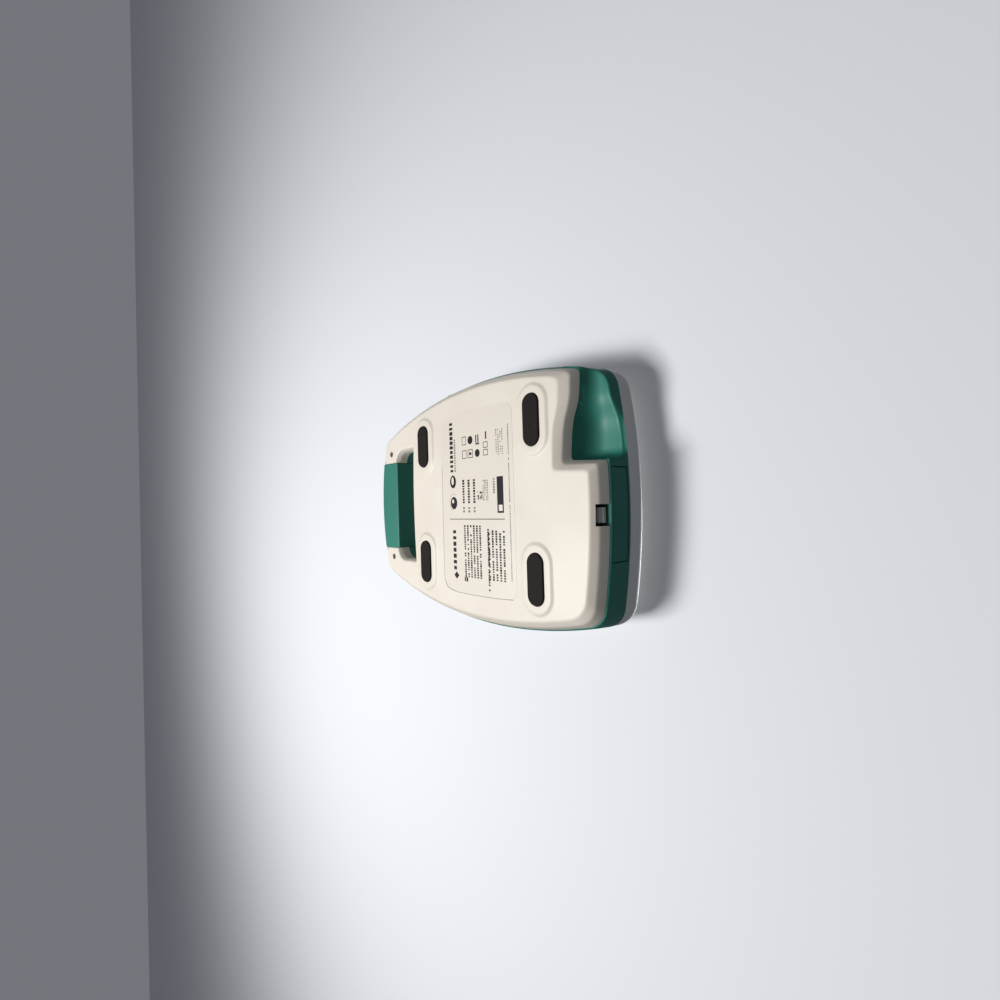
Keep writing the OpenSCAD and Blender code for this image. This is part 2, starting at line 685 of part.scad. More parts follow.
// ---- printer ----
module gear(teeth, x0, x1, y, z, bore, turn) {
  pitch = gear_m * teeth / 2;
  root = pitch - 1.15 * gear_m;
  tip = pitch + 0.85 * gear_m;
  half = 0.9 * gear_m;
  translate([x0, y, z]) rotate([0, 90, 0]) difference() {
    union() {
      cylinder(r = root, h = x1 - x0);
      for (k = [0:teeth - 1]) rotate(360 * (k + turn) / teeth) linear_extrude(x1 - x0)
        polygon([[root - 0.3, -half], [tip, -half * 0.42], [tip, half * 0.42], [root - 0.3, half]]);
    }
    translate([0, 0, -1]) cylinder(r = bore, h = x1 - x0 + 2);
  }
}
module printer_frame() {
  color([0.25, 0.26, 0.27]) difference() {
    union() {
      difference() {
        block(-bay_x, bay_x, bay_y0, bay_y1, bay_z0, 57);
        block(-bay_x + 2, bay_x - 2, bay_y0 + 1.5, bay_y1 - 1.5, bay_z0 + 1.5, 60);
      }
      for (s = [-1, 1]) block(s * (bay_x - 1) - 1, s * (bay_x - 1) + 1, 28, bay_y0 + 2, 45, 63.4);
    }
    rod_x(-40, 40, platen_y, platen_z, 2.05);
    for (s = [-1, 1]) {
      rod_x(s > 0 ? 30 : -34, s > 0 ? 34 : -30, roll_y, roll_z, 2.1);
      block(s > 0 ? 30 : -34, s > 0 ? 34 : -30, roll_y - 2.1, roll_y + 2.1, roll_z, 60);
    }
    rod_x(20, 40, motor_y, motor_z, 1.6);
  }
}
module print_head() {
  color(steel) block(-28, 28, platen_y + platen_r + 0.1, platen_y + platen_r + 2.4, 50, 57);
}
module tear_bar() {
  color(steel) block(-door_half_w - door_gap, door_half_w + door_gap, door_mouth_y, door_mouth_y + 1.2,
    65.6, case_h - 0.2);
}
module platen_roller() {
  color(dark) {
    rod_x(-28.5, 28.5, platen_y, platen_z, platen_r);
    rod_x(-33.5, gear_x1 + 0.2, platen_y, platen_z, 2);
  }
}
module platen_gear() {
  color([0.9, 0.9, 0.85]) gear(platen_teeth, gear_x0, gear_x1, platen_y, platen_z, 2, 0);
}
module feed_motor() {
  color(steel) rod_x(14, 30.8, motor_y, motor_z, 4);
}
module motor_pinion() {
  color([0.85, 0.7, 0.35]) {
    rod_x(30.9, gear_x0, motor_y, motor_z, 1.5);
    gear(pinion_teeth, gear_x0, gear_x1, motor_y, motor_z, 0.2, 0.5);
  }
}
module paper_roll() {
  color([0.96, 0.96, 0.94]) difference() {
    rod_x(-paper_w / 2, paper_w / 2, roll_y, roll_z, roll_r);
    rod_x(-40, 40, roll_y, roll_z, core_r + 0.05);
  }
}
module roll_core() {
  color([0.6, 0.6, 0.6]) {
    rod_x(-paper_w / 2, paper_w / 2, roll_y, roll_z, core_r);
    rod_x(-32.6, 32.6, roll_y, roll_z, 2);
  }
}
module printer_door() {
  color(off_white) difference() {
    union() {
      block(-door_half_w, door_half_w, door_y0, hinge_y - 3.2, case_h - 2.2, case_h);
      for (s = [-1, 1]) {
        rod_x(s * door_arm_x - 2, s * door_arm_x + 2, hinge_y, hinge_z, 2.2);
        block(s * door_arm_x - 2, s * door_arm_x + 2, hinge_y - 6, hinge_y, hinge_z - 1, hinge_z + 1);
        block(s * door_arm_x - 2, s * door_arm_x + 2, hinge_y - 6, hinge_y - 3, hinge_z - 1, case_h - 2);
      }
    }
    rod_x(-40, 40, hinge_y, hinge_z, pin_r + 0.05);
  }
}
module door_pins() {
  color(steel) for (s = [-1, 1]) rod_x(s > 0 ? 29.4 : -39, s > 0 ? 39 : -29.4, hinge_y, hinge_z, pin_r - 0.02);
}

rear_shell();
middle_band();
front_shell();
probe_cradle();
lower_seal();
upper_seal();
handle_grip();
handle_core();
handle_screws();
rubber_feet();
case_screws();
rating_label();
battery_bay();
battery_cap();
battery_pack();
battery_rails();
battery_cells();
battery_contacts();
battery_latch();
latch_pin();
main_board();
board_chips();
board_screws();
ultrasound_board();
ultrasound_chips();
ultrasound_screws();
probe_socket();
socket_nut();
usb_port();
speaker();
speaker_grille();
display_window();
display_gasket();
display_module();
display_ribbon();
keypad_overlay();
keypad_board();
key_domes();
soft_key_1();
soft_key_2();
soft_key_3();
soft_key_4();
power_key();
scan_key();
print_key();
printer_frame();
print_head();
tear_bar();
platen_roller();
platen_gear();
feed_motor();
motor_pinion();
paper_roll();
roll_core();
printer_door();
door_pins();
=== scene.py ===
import json
import math
import bpy
import bmesh
import numpy as np
from mathutils import Matrix, Vector
from mathutils.geometry import delaunay_2d_cdt


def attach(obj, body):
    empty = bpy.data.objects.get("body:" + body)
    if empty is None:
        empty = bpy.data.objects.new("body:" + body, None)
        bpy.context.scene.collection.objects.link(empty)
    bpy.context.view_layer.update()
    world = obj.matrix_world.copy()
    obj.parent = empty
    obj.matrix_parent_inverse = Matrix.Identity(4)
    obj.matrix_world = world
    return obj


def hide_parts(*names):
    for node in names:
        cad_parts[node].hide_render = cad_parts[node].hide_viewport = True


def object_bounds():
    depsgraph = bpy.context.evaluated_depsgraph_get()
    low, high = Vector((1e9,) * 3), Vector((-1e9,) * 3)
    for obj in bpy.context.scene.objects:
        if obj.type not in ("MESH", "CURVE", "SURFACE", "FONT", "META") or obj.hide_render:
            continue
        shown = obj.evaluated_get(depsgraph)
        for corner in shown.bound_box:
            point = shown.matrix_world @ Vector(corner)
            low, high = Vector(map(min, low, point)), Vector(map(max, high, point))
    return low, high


# Lengths in the dictionaries are millimetres in the object's own frame:
# +Y towards the handle, +Z through the screen, feet standing at z = 0.
mm = 0.001
# points nearer than this are made one point
weldGap = 0.004

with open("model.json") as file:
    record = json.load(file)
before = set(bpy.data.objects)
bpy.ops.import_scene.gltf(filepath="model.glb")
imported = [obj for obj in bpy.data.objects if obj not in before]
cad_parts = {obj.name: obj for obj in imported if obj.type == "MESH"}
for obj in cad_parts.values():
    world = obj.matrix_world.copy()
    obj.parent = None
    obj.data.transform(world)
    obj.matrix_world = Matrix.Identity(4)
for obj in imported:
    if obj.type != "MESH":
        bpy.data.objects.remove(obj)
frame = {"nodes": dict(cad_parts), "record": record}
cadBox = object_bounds()
print("frame loaded:", len(frame["nodes"]), "nodes")


def linked(name, data):
    obj = bpy.data.objects.new(name, data)
    bpy.context.scene.collection.objects.link(obj)
    return obj


def makeObject(name, points, faces, sharp=34):
    mesh = bpy.data.meshes.new(name)
    mesh.from_pydata([tuple(float(c) * mm for c in p) for p in points], [], faces)
    mesh.validate()
    obj = linked(name, mesh)
    tidyNormals(obj, sharp)
    return obj


def tidyNormals(obj, sharp=34):
    work = bmesh.new()
    work.from_mesh(obj.data)
    bmesh.ops.remove_doubles(work, verts=work.verts, dist=weldGap * mm)
    bmesh.ops.recalc_face_normals(work, faces=work.faces)
    work.to_mesh(obj.data)
    work.free()
    for polygon in obj.data.polygons:
        polygon.use_smooth = True
    obj.data.set_sharp_from_angle(angle=math.radians(sharp))


def bake(obj, sharp=34):
    # turn the object's modifiers into its plain mesh
    graph = bpy.context.evaluated_depsgraph_get()
    mesh = bpy.data.meshes.new_from_object(obj.evaluated_get(graph))
    obj.modifiers.clear()
    obj.data = mesh
    tidyNormals(obj, sharp)
    return obj


def joined(name, objects):
    work = bmesh.new()
    for part in objects:
        work.from_mesh(part.data)
    mesh = bpy.data.meshes.new(name)
    work.to_mesh(mesh)
    work.free()
    for part in objects:
        bpy.data.objects.remove(part)
    return linked(name, mesh)


def cut(obj, cutters, sharp=34):
    tool = joined("cutter", cutters)
    boolean = obj.modifiers.new("cut", "BOOLEAN")
    boolean.operation = "DIFFERENCE"
    boolean.solver = "EXACT"
    boolean.object = tool
    bake(obj, sharp)
    bpy.data.objects.remove(tool)
    return obj


def softened(obj, width, segments=3, angle=35, sharp=34):
    bevel = obj.modifiers.new("edge", "BEVEL")
    bevel.width = width * mm
    bevel.segments = segments
    bevel.limit_method = "ANGLE"
    bevel.angle_limit = math.radians(angle)
    return bake(obj, sharp)


def roundedRect(x0, x1, y0, y1, r, steps=6):
    corners = [(x1 - r, y0 + r, -90), (x1 - r, y1 - r, 0), (x0 + r, y1 - r, 90), (x0 + r, y0 + r, 180)]
    points = []
    for cx, cy, start in corners:
        for i in range(steps + 1):
            a = math.radians(start + 90 * i / steps)
            points.append((cx + r * math.cos(a), cy + r * math.sin(a)))
    return np.array(points)


def racetrack(cx, cy, length, width, steps=14):
    return roundedRect(cx - length / 2, cx + length / 2, cy - width / 2, cy + width / 2, width / 2 - 0.01,
                       steps)


def loft(rows, wrap=False):
    # rows are rings with the same number of points; wrap joins the last ring to the first
    count = len(rows[0])
    points = np.vstack(rows)
    faces = []
    last = len(rows) if wrap else len(rows) - 1
    for k in range(last):
        a = k * count
        b = ((k + 1) % len(rows)) * count
        for i in range(count):
            j = (i + 1) % count
            faces.append((a + i, a + j, b + j, b + i))
    return points, faces


def closedLoft(rows):
    # a loft with a flat face over its first and its last ring
    points, faces = loft(rows)
    n = len(rows[0])
    faces += [tuple(range(n)), tuple(range(len(points) - 1, len(points) - n - 1, -1))]
    return points, faces


def level(ring, z):
    return np.column_stack([ring, np.full(len(ring), float(z))])


def prism(name, ring, z0, z1):
    return makeObject(name, *closedLoft([level(ring, z0), level(ring, z1)]))


def disc(cx, cy, r, steps=48):
    a = np.linspace(0, 2 * math.pi, steps, endpoint=False)
    return np.column_stack([cx + r * np.cos(a), cy + r * np.sin(a)])


def turnedX(name, rings, y, z, steps=48):
    # rings is a list of (x, radius) along an axis parallel to X
    a = np.linspace(0, 2 * math.pi, steps, endpoint=False)
    rows = [np.column_stack([np.full(steps, x), y + r * np.cos(a), z + r * np.sin(a)]) for x, r in rings]
    return makeObject(name, *closedLoft(rows))


def insideRing(points, ring):
    x, y = points[:, 0], points[:, 1]
    inside = np.zeros(len(points), bool)
    for (x0, y0), (x1, y1) in zip(ring, np.roll(ring, -1, axis=0)):
        crosses = (y0 > y) != (y1 > y)
        with np.errstate(divide="ignore", invalid="ignore"):
            inside ^= crosses & (x < (x1 - x0) * (y - y0) / (y1 - y0) + x0)
    return inside


def filled(ring, holes=(), extra=()):
    # triangles between a ring and its holes, through the extra points
    loops = [np.asarray(ring)] + [np.asarray(h) for h in holes]
    points, edges = [], []
    for loop in loops:
        start = len(points)
        points += [tuple(p) for p in loop]
        edges += [(start + i, start + (i + 1) % len(loop)) for i in range(len(loop))]
    points += [tuple(p) for p in extra]
    out = delaunay_2d_cdt([Vector(p) for p in points], edges, [], 0, 1e-5)
    flat = np.array([(p.x, p.y) for p in out[0]])
    triangles = np.array([f for f in out[2]])
    centres = flat[triangles].mean(axis=1)
    keep = insideRing(centres, loops[0])
    for loop in loops[1:]:
        keep &= ~insideRing(centres, loop)
    return flat, triangles[keep]


def merge(parts):
    # parts is a list of (points, faces)
    points, faces, start = [], [], 0
    for p, f in parts:
        points.append(np.asarray(p, float))
        faces += [tuple(int(i) + start for i in face) for face in f]
        start += len(p)
    return np.vstack(points), faces


def inset(ring, distance):
    # move each point of a counter-clockwise ring inwards along its normal
    ahead, behind = np.roll(ring, -1, axis=0), np.roll(ring, 1, axis=0)
    e0 = ring - behind
    e1 = ahead - ring
    e0 = e0 / np.maximum(np.linalg.norm(e0, axis=1, keepdims=True), 1e-6)
    e1 = e1 / np.maximum(np.linalg.norm(e1, axis=1, keepdims=True), 1e-6)
    n0 = np.column_stack([-e0[:, 1], e0[:, 0]])
    n1 = np.column_stack([-e1[:, 1], e1[:, 0]])
    n = n0 + n1
    n = n / np.linalg.norm(n, axis=1, keepdims=True)
    stretch = 1 / np.clip((n * n1).sum(axis=1), 0.6, 1)
    return ring + n * (distance * stretch)[:, None]


def filletRows(levels, radii, steps=4):
    # rings that follow the levels with each middle level rounded by a quadratic curve
    rows = [levels[0]]
    for k in range(1, len(levels) - 1):
        here = levels[k]
        back, ahead = levels[k - 1] - here, levels[k + 1] - here
        back = back / np.maximum(np.linalg.norm(back, axis=1, keepdims=True), 1e-6)
        ahead = ahead / np.maximum(np.linalg.norm(ahead, axis=1, keepdims=True), 1e-6)
        a, b = here + back * radii[k - 1], here + ahead * radii[k - 1]
        for i in range(steps + 1):
            t = i / steps
            rows.append((1 - t) ** 2 * a + 2 * t * (1 - t) * here + t * t * b)
    rows.append(levels[-1])
    return rows


def resampled(points, count):
    points = np.asarray(points, float)
    run = np.concatenate([[0], np.cumsum(np.linalg.norm(np.diff(points, axis=0), axis=1))])
    at = np.linspace(0, run[-1], count, endpoint=False)
    return np.column_stack([np.interp(at, run, points[:, i]) for i in (0, 1)])


outlineSizes = {
    "halfWidth": 102.4, "wideY": -20, "sideRadius": 400,
    "frontY": -138.45, "frontRadius": 480, "frontCorner": 19,
    "backY": 145.0, "backRadius": 250, "backCorner": 11, "backGrowth": 0.4,
    "slotHalf": 55.5, "slotBack": 113, "slotFront": 83.1, "slotBow": 2.1, "slotCorner": 12,
    "gripHalf": 45.1,
}
# how many points each stretch of the outline has
outlineSteps = {"front": 26, "frontCorner": 14, "side": 72, "backCorner": 10, "back": 10, "lugEnd": 10,
                "slotCorner": 12, "slotEnd": 8, "slotFront": 26, "notch": 64, "frontLeft": 20}


def arcPoints(centre, r, a0, a1, count):
    a = np.linspace(a0, a1, count, endpoint=False)
    return np.column_stack([centre[0] + r * np.cos(a), centre[1] + r * np.sin(a)])


def meet(a, ra, b, rb, side):
    d = np.linalg.norm(b - a)
    u = (b - a) / d
    k = (d * d + ra * ra - rb * rb) / (2 * d)
    h = math.sqrt(ra * ra - k * k)
    return a + k * u + side * h * np.array([-u[1], u[0]])


def bearing(v):
    return math.atan2(v[1], v[0])


def caseArcs(grow):
    s = outlineSizes
    side = np.array([s["halfWidth"] - s["sideRadius"], s["wideY"]])
    front = np.array([0, s["frontY"] + s["frontRadius"]])
    back = np.array([0, s["backY"] - s["backRadius"]])
    sideR, frontR = s["sideRadius"] + grow, s["frontRadius"] + grow
    backGrow = grow + 3 if grow < -6 else grow / 2 if grow < 0 else min(grow, s["backGrowth"])
    backR = s["backRadius"] + backGrow
    fc = meet(side, sideR - s["frontCorner"], front, frontR - s["frontCorner"], -1)
    bc = meet(side, sideR - s["backCorner"], back, backR - s["backCorner"], 1)
    return {"side": (side, sideR), "front": (front, frontR), "back": (back, backR),
            "frontCorner": fc, "backCorner": bc}


def rightPath(grow, slotGrow, slotFrontGrow):
    # from the middle of the front edge round the +X side to the middle of the hand slot's front edge
    s, n, arcs = outlineSizes, outlineSteps, caseArcs(grow)
    (side, sideR), (front, frontR), (back, backR) = arcs["side"], arcs["front"], arcs["back"]
    fc, bc = arcs["frontCorner"], arcs["backCorner"]
    a1, a2 = bearing(fc - front), bearing(fc - side)
    a3, a4 = bearing(bc - side), bearing(bc - back)
    a5 = math.acos(s["gripHalf"] / backR)
    slotC = np.array([s["slotHalf"] - s["slotCorner"], s["slotBack"] - s["slotCorner"]])
    slotR = s["slotCorner"] + slotGrow
    a6 = math.acos((s["gripHalf"] - slotC[0]) / slotR)
    lugTop = back + backR * np.array([math.cos(a5), math.sin(a5)])
    lugLow = slotC + slotR * np.array([math.cos(a6), math.sin(a6)])
    slotX = s["slotHalf"] + slotGrow
    endY = s["slotFront"] - s["slotBow"] - slotFrontGrow
    x = np.linspace(slotX, 0, n["slotFront"], endpoint=False)
    bowed = np.column_stack([x, s["slotFront"] - slotFrontGrow - s["slotBow"] * (x / slotX) ** 2])
    return [
        arcPoints(front, frontR, -math.pi / 2, a1, n["front"]),
        arcPoints(fc, s["frontCorner"], a1, a2, n["frontCorner"]),
        arcPoints(side, sideR, a2, a3, n["side"]),
        arcPoints(bc, s["backCorner"], a3, a4, n["backCorner"]),
        arcPoints(back, backR, a4, a5, n["back"]),
        resampled([lugTop, lugLow], n["lugEnd"]),
        arcPoints(slotC, slotR, a6, 0, n["slotCorner"]),
        resampled([(slotX, slotC[1]), (slotX, endY)], n["slotEnd"]),
        bowed,
    ]


def caseContour(grow, slotGrow=0.0, slotFrontGrow=0.0, notch=None, soften=1.6):
    # a closed ring, counter-clockwise seen from +Z; notch lists points from the -X side to the front edge
    n = outlineSteps
    parts = rightPath(grow, slotGrow, slotFrontGrow)
    right = np.vstack(parts)
    middle = np.array([[0, outlineSizes["slotFront"] - slotFrontGrow]])
    whole = np.vstack([right, middle])
    mirrored = whole[::-1] * [-1, 1]
    if notch is None:
        return np.vstack([right, mirrored[:-1]])
    arcs = caseArcs(grow)
    (side, sideR), (front, frontR), bc = arcs["side"], arcs["front"], arcs["backCorner"]
    kept = len(whole) - n["front"] - n["frontCorner"] - n["side"]
    a3 = bearing(bc - side)
    aNotch = math.asin((notch[0][1] - side[1]) / sideR)
    leftSide = arcPoints(side, sideR, a3, aNotch, n["side"]) * [-1, 1]
    corner = side + sideR * np.array([math.cos(aNotch), math.sin(aNotch)])
    notchX = notch[-1][0]
    aFront = -math.acos(notchX / frontR)
    frontCut = front + frontR * np.array([math.cos(aFront), math.sin(aFront)])
    cutPath = resampled([corner * [-1, 1]] + list(notch[1:-1]) + [frontCut], n["notch"])
    frontLeft = arcPoints(front, frontR, aFront, -math.pi / 2, n["frontLeft"])
    ring = np.vstack([right, mirrored[:kept], leftSide, cutPath, frontLeft])
    if soften:
        start = len(right) + kept + n["side"]
        weight = np.zeros(len(ring))
        weight[start - 3:start + n["notch"] + 4] = 1
        spread = np.arange(-6, 7)
        kernel = np.exp(-0.5 * (spread / soften) ** 2)
        kernel /= kernel.sum()
        smooth = sum(k * np.roll(ring, -d, axis=0) for k, d in zip(kernel, spread))
        ring = ring + (smooth - ring) * weight[:, None]
    return ring


# the place is in metres, the lens in millimetres
cameraSizes = {"place": (0.0044, -0.3249, -0.2578), "aim": (-0.01325, 0.7309, 0.6823),
               "up": (-0.99946, -0.03014, 0.01287), "lens": 16.956}


def makeCamera():
    data = bpy.data.cameras.new("camera")
    data.lens = cameraSizes["lens"]
    data.sensor_width = 36
    data.clip_start = 0.01
    camera = linked("camera", data)
    ahead = Vector(cameraSizes["aim"]).normalized()
    right = ahead.cross(Vector(cameraSizes["up"])).normalized()
    up = right.cross(ahead)
    turn = Matrix((right, up, -ahead)).transposed().to_4x4()
    camera.matrix_world = Matrix.Translation(cameraSizes["place"]) @ turn
    bpy.context.scene.camera = camera


makeCamera()
print("camera placed")


def newGroup(name, inputs, outputs):
    tree = bpy.data.node_groups.new(name, "ShaderNodeTree")
    for label, kind, value in inputs:
        socket = tree.interface.new_socket(label, in_out="INPUT", socket_type=kind)
        socket.default_value = value
    for label, kind in outputs:
        tree.interface.new_socket(label, in_out="OUTPUT", socket_type=kind)
    return tree, tree.nodes.new("NodeGroupInput"), tree.nodes.new("NodeGroupOutput")


def addNode(tree, kind, values=None, **settings):
    node = tree.nodes.new(kind)
    for key, value in settings.items():
        setattr(node, key, value)
    for key, value in (values or {}).items():
        if isinstance(value, bpy.types.NodeSocket):
            tree.links.new(value, node.inputs[key])
        else:
            node.inputs[key].default_value = value
    return node


def makeGrainGroup():
    # fine moulded texture with a slower unevenness under it; gives a height
    tree, src, out = newGroup("mouldGrain",
                              [("Scale", "NodeSocketFloat", 900.0), ("Unevenness", "NodeSocketFloat", 0.3)],
                              [("Height", "NodeSocketFloat")])
    where = addNode(tree, "ShaderNodeTexCoord").outputs["Object"]
    fine = addNode(tree, "ShaderNodeTexNoise",
                   {"Vector": where, "Scale": src.outputs["Scale"], "Detail": 3.0})
    slow = addNode(tree, "ShaderNodeTexNoise", {"Vector": where, "Scale": 28.0, "Detail": 2.0})
    part = addNode(tree, "ShaderNodeMath", {0: slow.outputs["Fac"], 1: src.outputs["Unevenness"]},
                   operation="MULTIPLY")
    both = addNode(tree, "ShaderNodeMath", {0: fine.outputs["Fac"], 1: part.outputs[0]}, operation="ADD")
    tree.links.new(both.outputs[0], out.inputs["Height"])
    return tree


def makeScuffGroup():
    # small scratches and rubbed spots; gives a mask
    tree, src, out = newGroup("scuffMarks",
                              [("Amount", "NodeSocketFloat", 0.3), ("Scale", "NodeSocketFloat", 60.0)],
                              [("Mask", "NodeSocketFloat")])
    where = addNode(tree, "ShaderNodeTexCoord").outputs["Object"]
    turned = addNode(tree, "ShaderNodeMapping",
                     {"Vector": where, "Rotation": (0.3, 0.2, 0.7), "Scale": (1.0, 6.0, 1.0)})
    streak = addNode(tree, "ShaderNodeTexNoise",
                     {"Vector": turned.outputs[0], "Scale": src.outputs["Scale"],
                      "Detail": 5.0, "Roughness": 0.6})
    spots = addNode(tree, "ShaderNodeTexNoise", {"Vector": where, "Scale": 22.0, "Detail": 3.0})
    many = addNode(tree, "ShaderNodeMapRange",
                   {"Value": streak.outputs["Fac"], "From Min": 0.62, "From Max": 0.72})
    some = addNode(tree, "ShaderNodeMapRange",
                   {"Value": spots.outputs["Fac"], "From Min": 0.5, "From Max": 0.7})
    both = addNode(tree, "ShaderNodeMath", {0: many.outputs[0], 1: some.outputs[0]}, operation="MULTIPLY")
    amount = addNode(tree, "ShaderNodeMath", {0: both.outputs[0], 1: src.outputs["Amount"]},
                     operation="MULTIPLY")
    tree.links.new(amount.outputs[0], out.inputs["Mask"])
    return tree


def makeGrimeGroup():
    # faint handling dirt in soft patches; gives a mask
    tree, src, out = newGroup("handlingGrime", [("Amount", "NodeSocketFloat", 0.3)],
                              [("Mask", "NodeSocketFloat")])
    where = addNode(tree, "ShaderNodeTexCoord").outputs["Object"]
    patches = addNode(tree, "ShaderNodeTexNoise",
                      {"Vector": where, "Scale": 14.0, "Detail": 6.0, "Roughness": 0.65})
    shaped = addNode(tree, "ShaderNodeMapRange",
                     {"Value": patches.outputs["Fac"], "From Min": 0.42, "From Max": 0.75})
    amount = addNode(tree, "ShaderNodeMath", {0: shaped.outputs[0], 1: src.outputs["Amount"]},
                     operation="MULTIPLY")
    tree.links.new(amount.outputs[0], out.inputs["Mask"])
    return tree


grainGroup = makeGrainGroup()
scuffGroup = makeScuffGroup()
grimeGroup = makeGrimeGroup()


def groupNode(tree, group, **values):
    node = tree.nodes.new("ShaderNodeGroup")
    node.node_tree = group
    for key, value in values.items():
        node.inputs[key].default_value = value
    return node


def mixColour(tree, mask, a, b):
    node = tree.nodes.new("ShaderNodeMix")
    node.data_type = "RGBA"
    tree.links.new(mask, node.inputs["Factor"])
    for socket, value in (("A", a), ("B", b)):
        place = [s for s in node.inputs if s.name == socket and s.type == "RGBA"][0]
        if isinstance(value, bpy.types.NodeSocket):
            tree.links.new(value, place)
        else:
            place.default_value = (*value, 1)
    return [s for s in node.outputs if s.type == "RGBA"][0]


def finish(name, colour, roughness=0.5, worn=None, grime=None, grain=900.0, bump=0.12, scuff=0.3,
           scuffScale=60.0, dirt=0.3, uneven=0.3, roughSpread=0.1, **sockets):
    # a moulded, cast or sheet finish: grain, scuffs and grime over a base colour
    material = bpy.data.materials.new(name)
    material.use_nodes = True
    tree = material.node_tree
    shader = tree.nodes["Principled BSDF"]
    worn = worn or tuple(min(1, c * 1.25 + 0.03) for c in colour)
    grime = grime or tuple(c * 0.62 for c in colour)
    scuffs = groupNode(tree, scuffGroup, Amount=scuff, Scale=scuffScale)
    dirtied = groupNode(tree, grimeGroup, Amount=dirt)
    height = groupNode(tree, grainGroup, Scale=grain, Unevenness=uneven)
    base = mixColour(tree, dirtied.outputs["Mask"], colour, grime)
    rubbed = mixColour(tree, scuffs.outputs["Mask"], base, worn)
    tree.links.new(rubbed, shader.inputs["Base Color"])
    spread = addNode(tree, "ShaderNodeMapRange", {"Value": scuffs.outputs["Mask"], "To Min": roughness,
                                                  "To Max": min(1, roughness + roughSpread)})
    tree.links.new(spread.outputs[0], shader.inputs["Roughness"])
    relief = addNode(tree, "ShaderNodeBump",
                     {"Strength": bump, "Distance": 0.0003, "Height": height.outputs["Height"]})
    tree.links.new(relief.outputs[0], shader.inputs["Normal"])
    for key, value in sockets.items():
        shader.inputs[key.replace("_", " ")].default_value = value
    return material


def glassFinish(name, colour, roughness):
    material = bpy.data.materials.new(name)
    material.use_nodes = True
    tree = material.node_tree
    shader = tree.nodes["Principled BSDF"]
    shader.inputs["Transmission Weight"].default_value = 1.0
    shader.inputs["IOR"].default_value = 1.49
    smears = groupNode(tree, grimeGroup, Amount=0.6)
    base = mixColour(tree, smears.outputs["Mask"], colour, tuple(c * 0.9 for c in colour))
    tree.links.new(base, shader.inputs["Base Color"])
    spread = addNode(tree, "ShaderNodeMapRange", {"Value": smears.outputs["Mask"], "To Min": roughness,
                                                  "To Max": roughness + 0.12})
    tree.links.new(spread.outputs[0], shader.inputs["Roughness"])
    return material


def circuitFinish(name):
    # solder mask with tracks and pads
    material = finish(name, (0.012, 0.10, 0.035), 0.35, grain=1500, bump=0.05, scuff=0.1)
    tree = material.node_tree
    shader = tree.nodes["Principled BSDF"]
    where = addNode(tree, "ShaderNodeTexCoord").outputs["Object"]
    tracks = addNode(tree, "ShaderNodeTexBrick", {"Vector": where, "Scale": 160.0, "Mortar Size": 0.05,
                                                  "Color1": (0, 0, 0, 1), "Color2": (0, 0, 0, 1),
                                                  "Mortar": (1, 1, 1, 1)})
    current = shader.inputs["Base Color"].links[0].from_socket
    tree.links.new(mixColour(tree, tracks.outputs["Color"], current, (0.03, 0.2, 0.07)),
                   shader.inputs["Base Color"])
    return material


finishes = {
    "cream_case": finish("creamCase", (0.60, 0.55, 0.475), 0.50, worn=(0.76, 0.72, 0.62),
                         grime=(0.42, 0.36, 0.28), grain=1400, bump=0.10, scuff=0.35, dirt=0.22),
    "green_case": finish("greenCase", (0.018, 0.150, 0.112), 0.50, worn=(0.05, 0.22, 0.17), grain=1500,
                         bump=0.08, scuff=0.3, dirt=0.3, Specular_IOR_Level=0.35),
    "white_case": finish("whiteCase", (0.60, 0.61, 0.59), 0.5, grime=(0.4, 0.39, 0.36), grain=1400,
                         bump=0.1),
    "rubber": finish("rubber", (0.007, 0.005, 0.004), 0.8, worn=(0.10, 0.09, 0.085), grain=2200, bump=0.3,
                     scuff=0.45, scuffScale=140.0, Specular_IOR_Level=0.22),
    "steel": finish("steel", (0.52, 0.52, 0.51), 0.32, grain=2500, bump=0.04, Metallic=1.0),
    "label_film": finish("labelFilm", (0.585, 0.535, 0.460), 0.42, grain=2600, bump=0.03, scuff=0.25,
                         dirt=0.15),
    "dark_plastic": finish("darkPlastic", (0.022, 0.022, 0.024), 0.5, grain=1600, bump=0.12),
    "cell_wrap": finish("cellWrap", (0.05, 0.14, 0.36), 0.25, bump=0.03),
    "contact_metal": finish("contactMetal", (0.70, 0.48, 0.18), 0.28, bump=0.03, Metallic=1.0),
    "grey_plastic": finish("greyPlastic", (0.50, 0.51, 0.49), 0.5, bump=0.08),
    "green_key": finish("greenKey", (0.02, 0.22, 0.15), 0.4, bump=0.08),
    "circuit_board": circuitFinish("circuitBoard"),
    "chip_black": finish("chipBlack", (0.015, 0.015, 0.016), 0.55, grain=2600, bump=0.1),
    "shield_can": finish("shieldCan", (0.5, 0.5, 0.47), 0.35, grain=300, bump=0.05, Metallic=1.0),
    "screen_glass": glassFinish("screenGlass", (0.93, 0.96, 0.95), 0.04),
    "screen_unit": finish("screenUnit", (0.02, 0.026, 0.03), 0.2, bump=0.01, scuff=0.05),
    "ribbon": finish("ribbon", (0.42, 0.18, 0.03), 0.3, bump=0.03),
    "keypad_film": finish("keypadFilm", (0.065, 0.115, 0.12), 0.42, grain=2600, bump=0.05),
    "gear_nylon": finish("gearNylon", (0.62, 0.6, 0.54), 0.4, bump=0.04),
    "paper": finish("paper", (0.80, 0.79, 0.76), 0.8, grain=2600, bump=0.1, scuff=0.05),
}
ink = finish("labelInk", (0.008, 0.007, 0.009), 0.6, worn=(0.12, 0.11, 0.10), scuff=0.6, scuffScale=220.0,
             bump=0.02, Specular_IOR_Level=0.2)
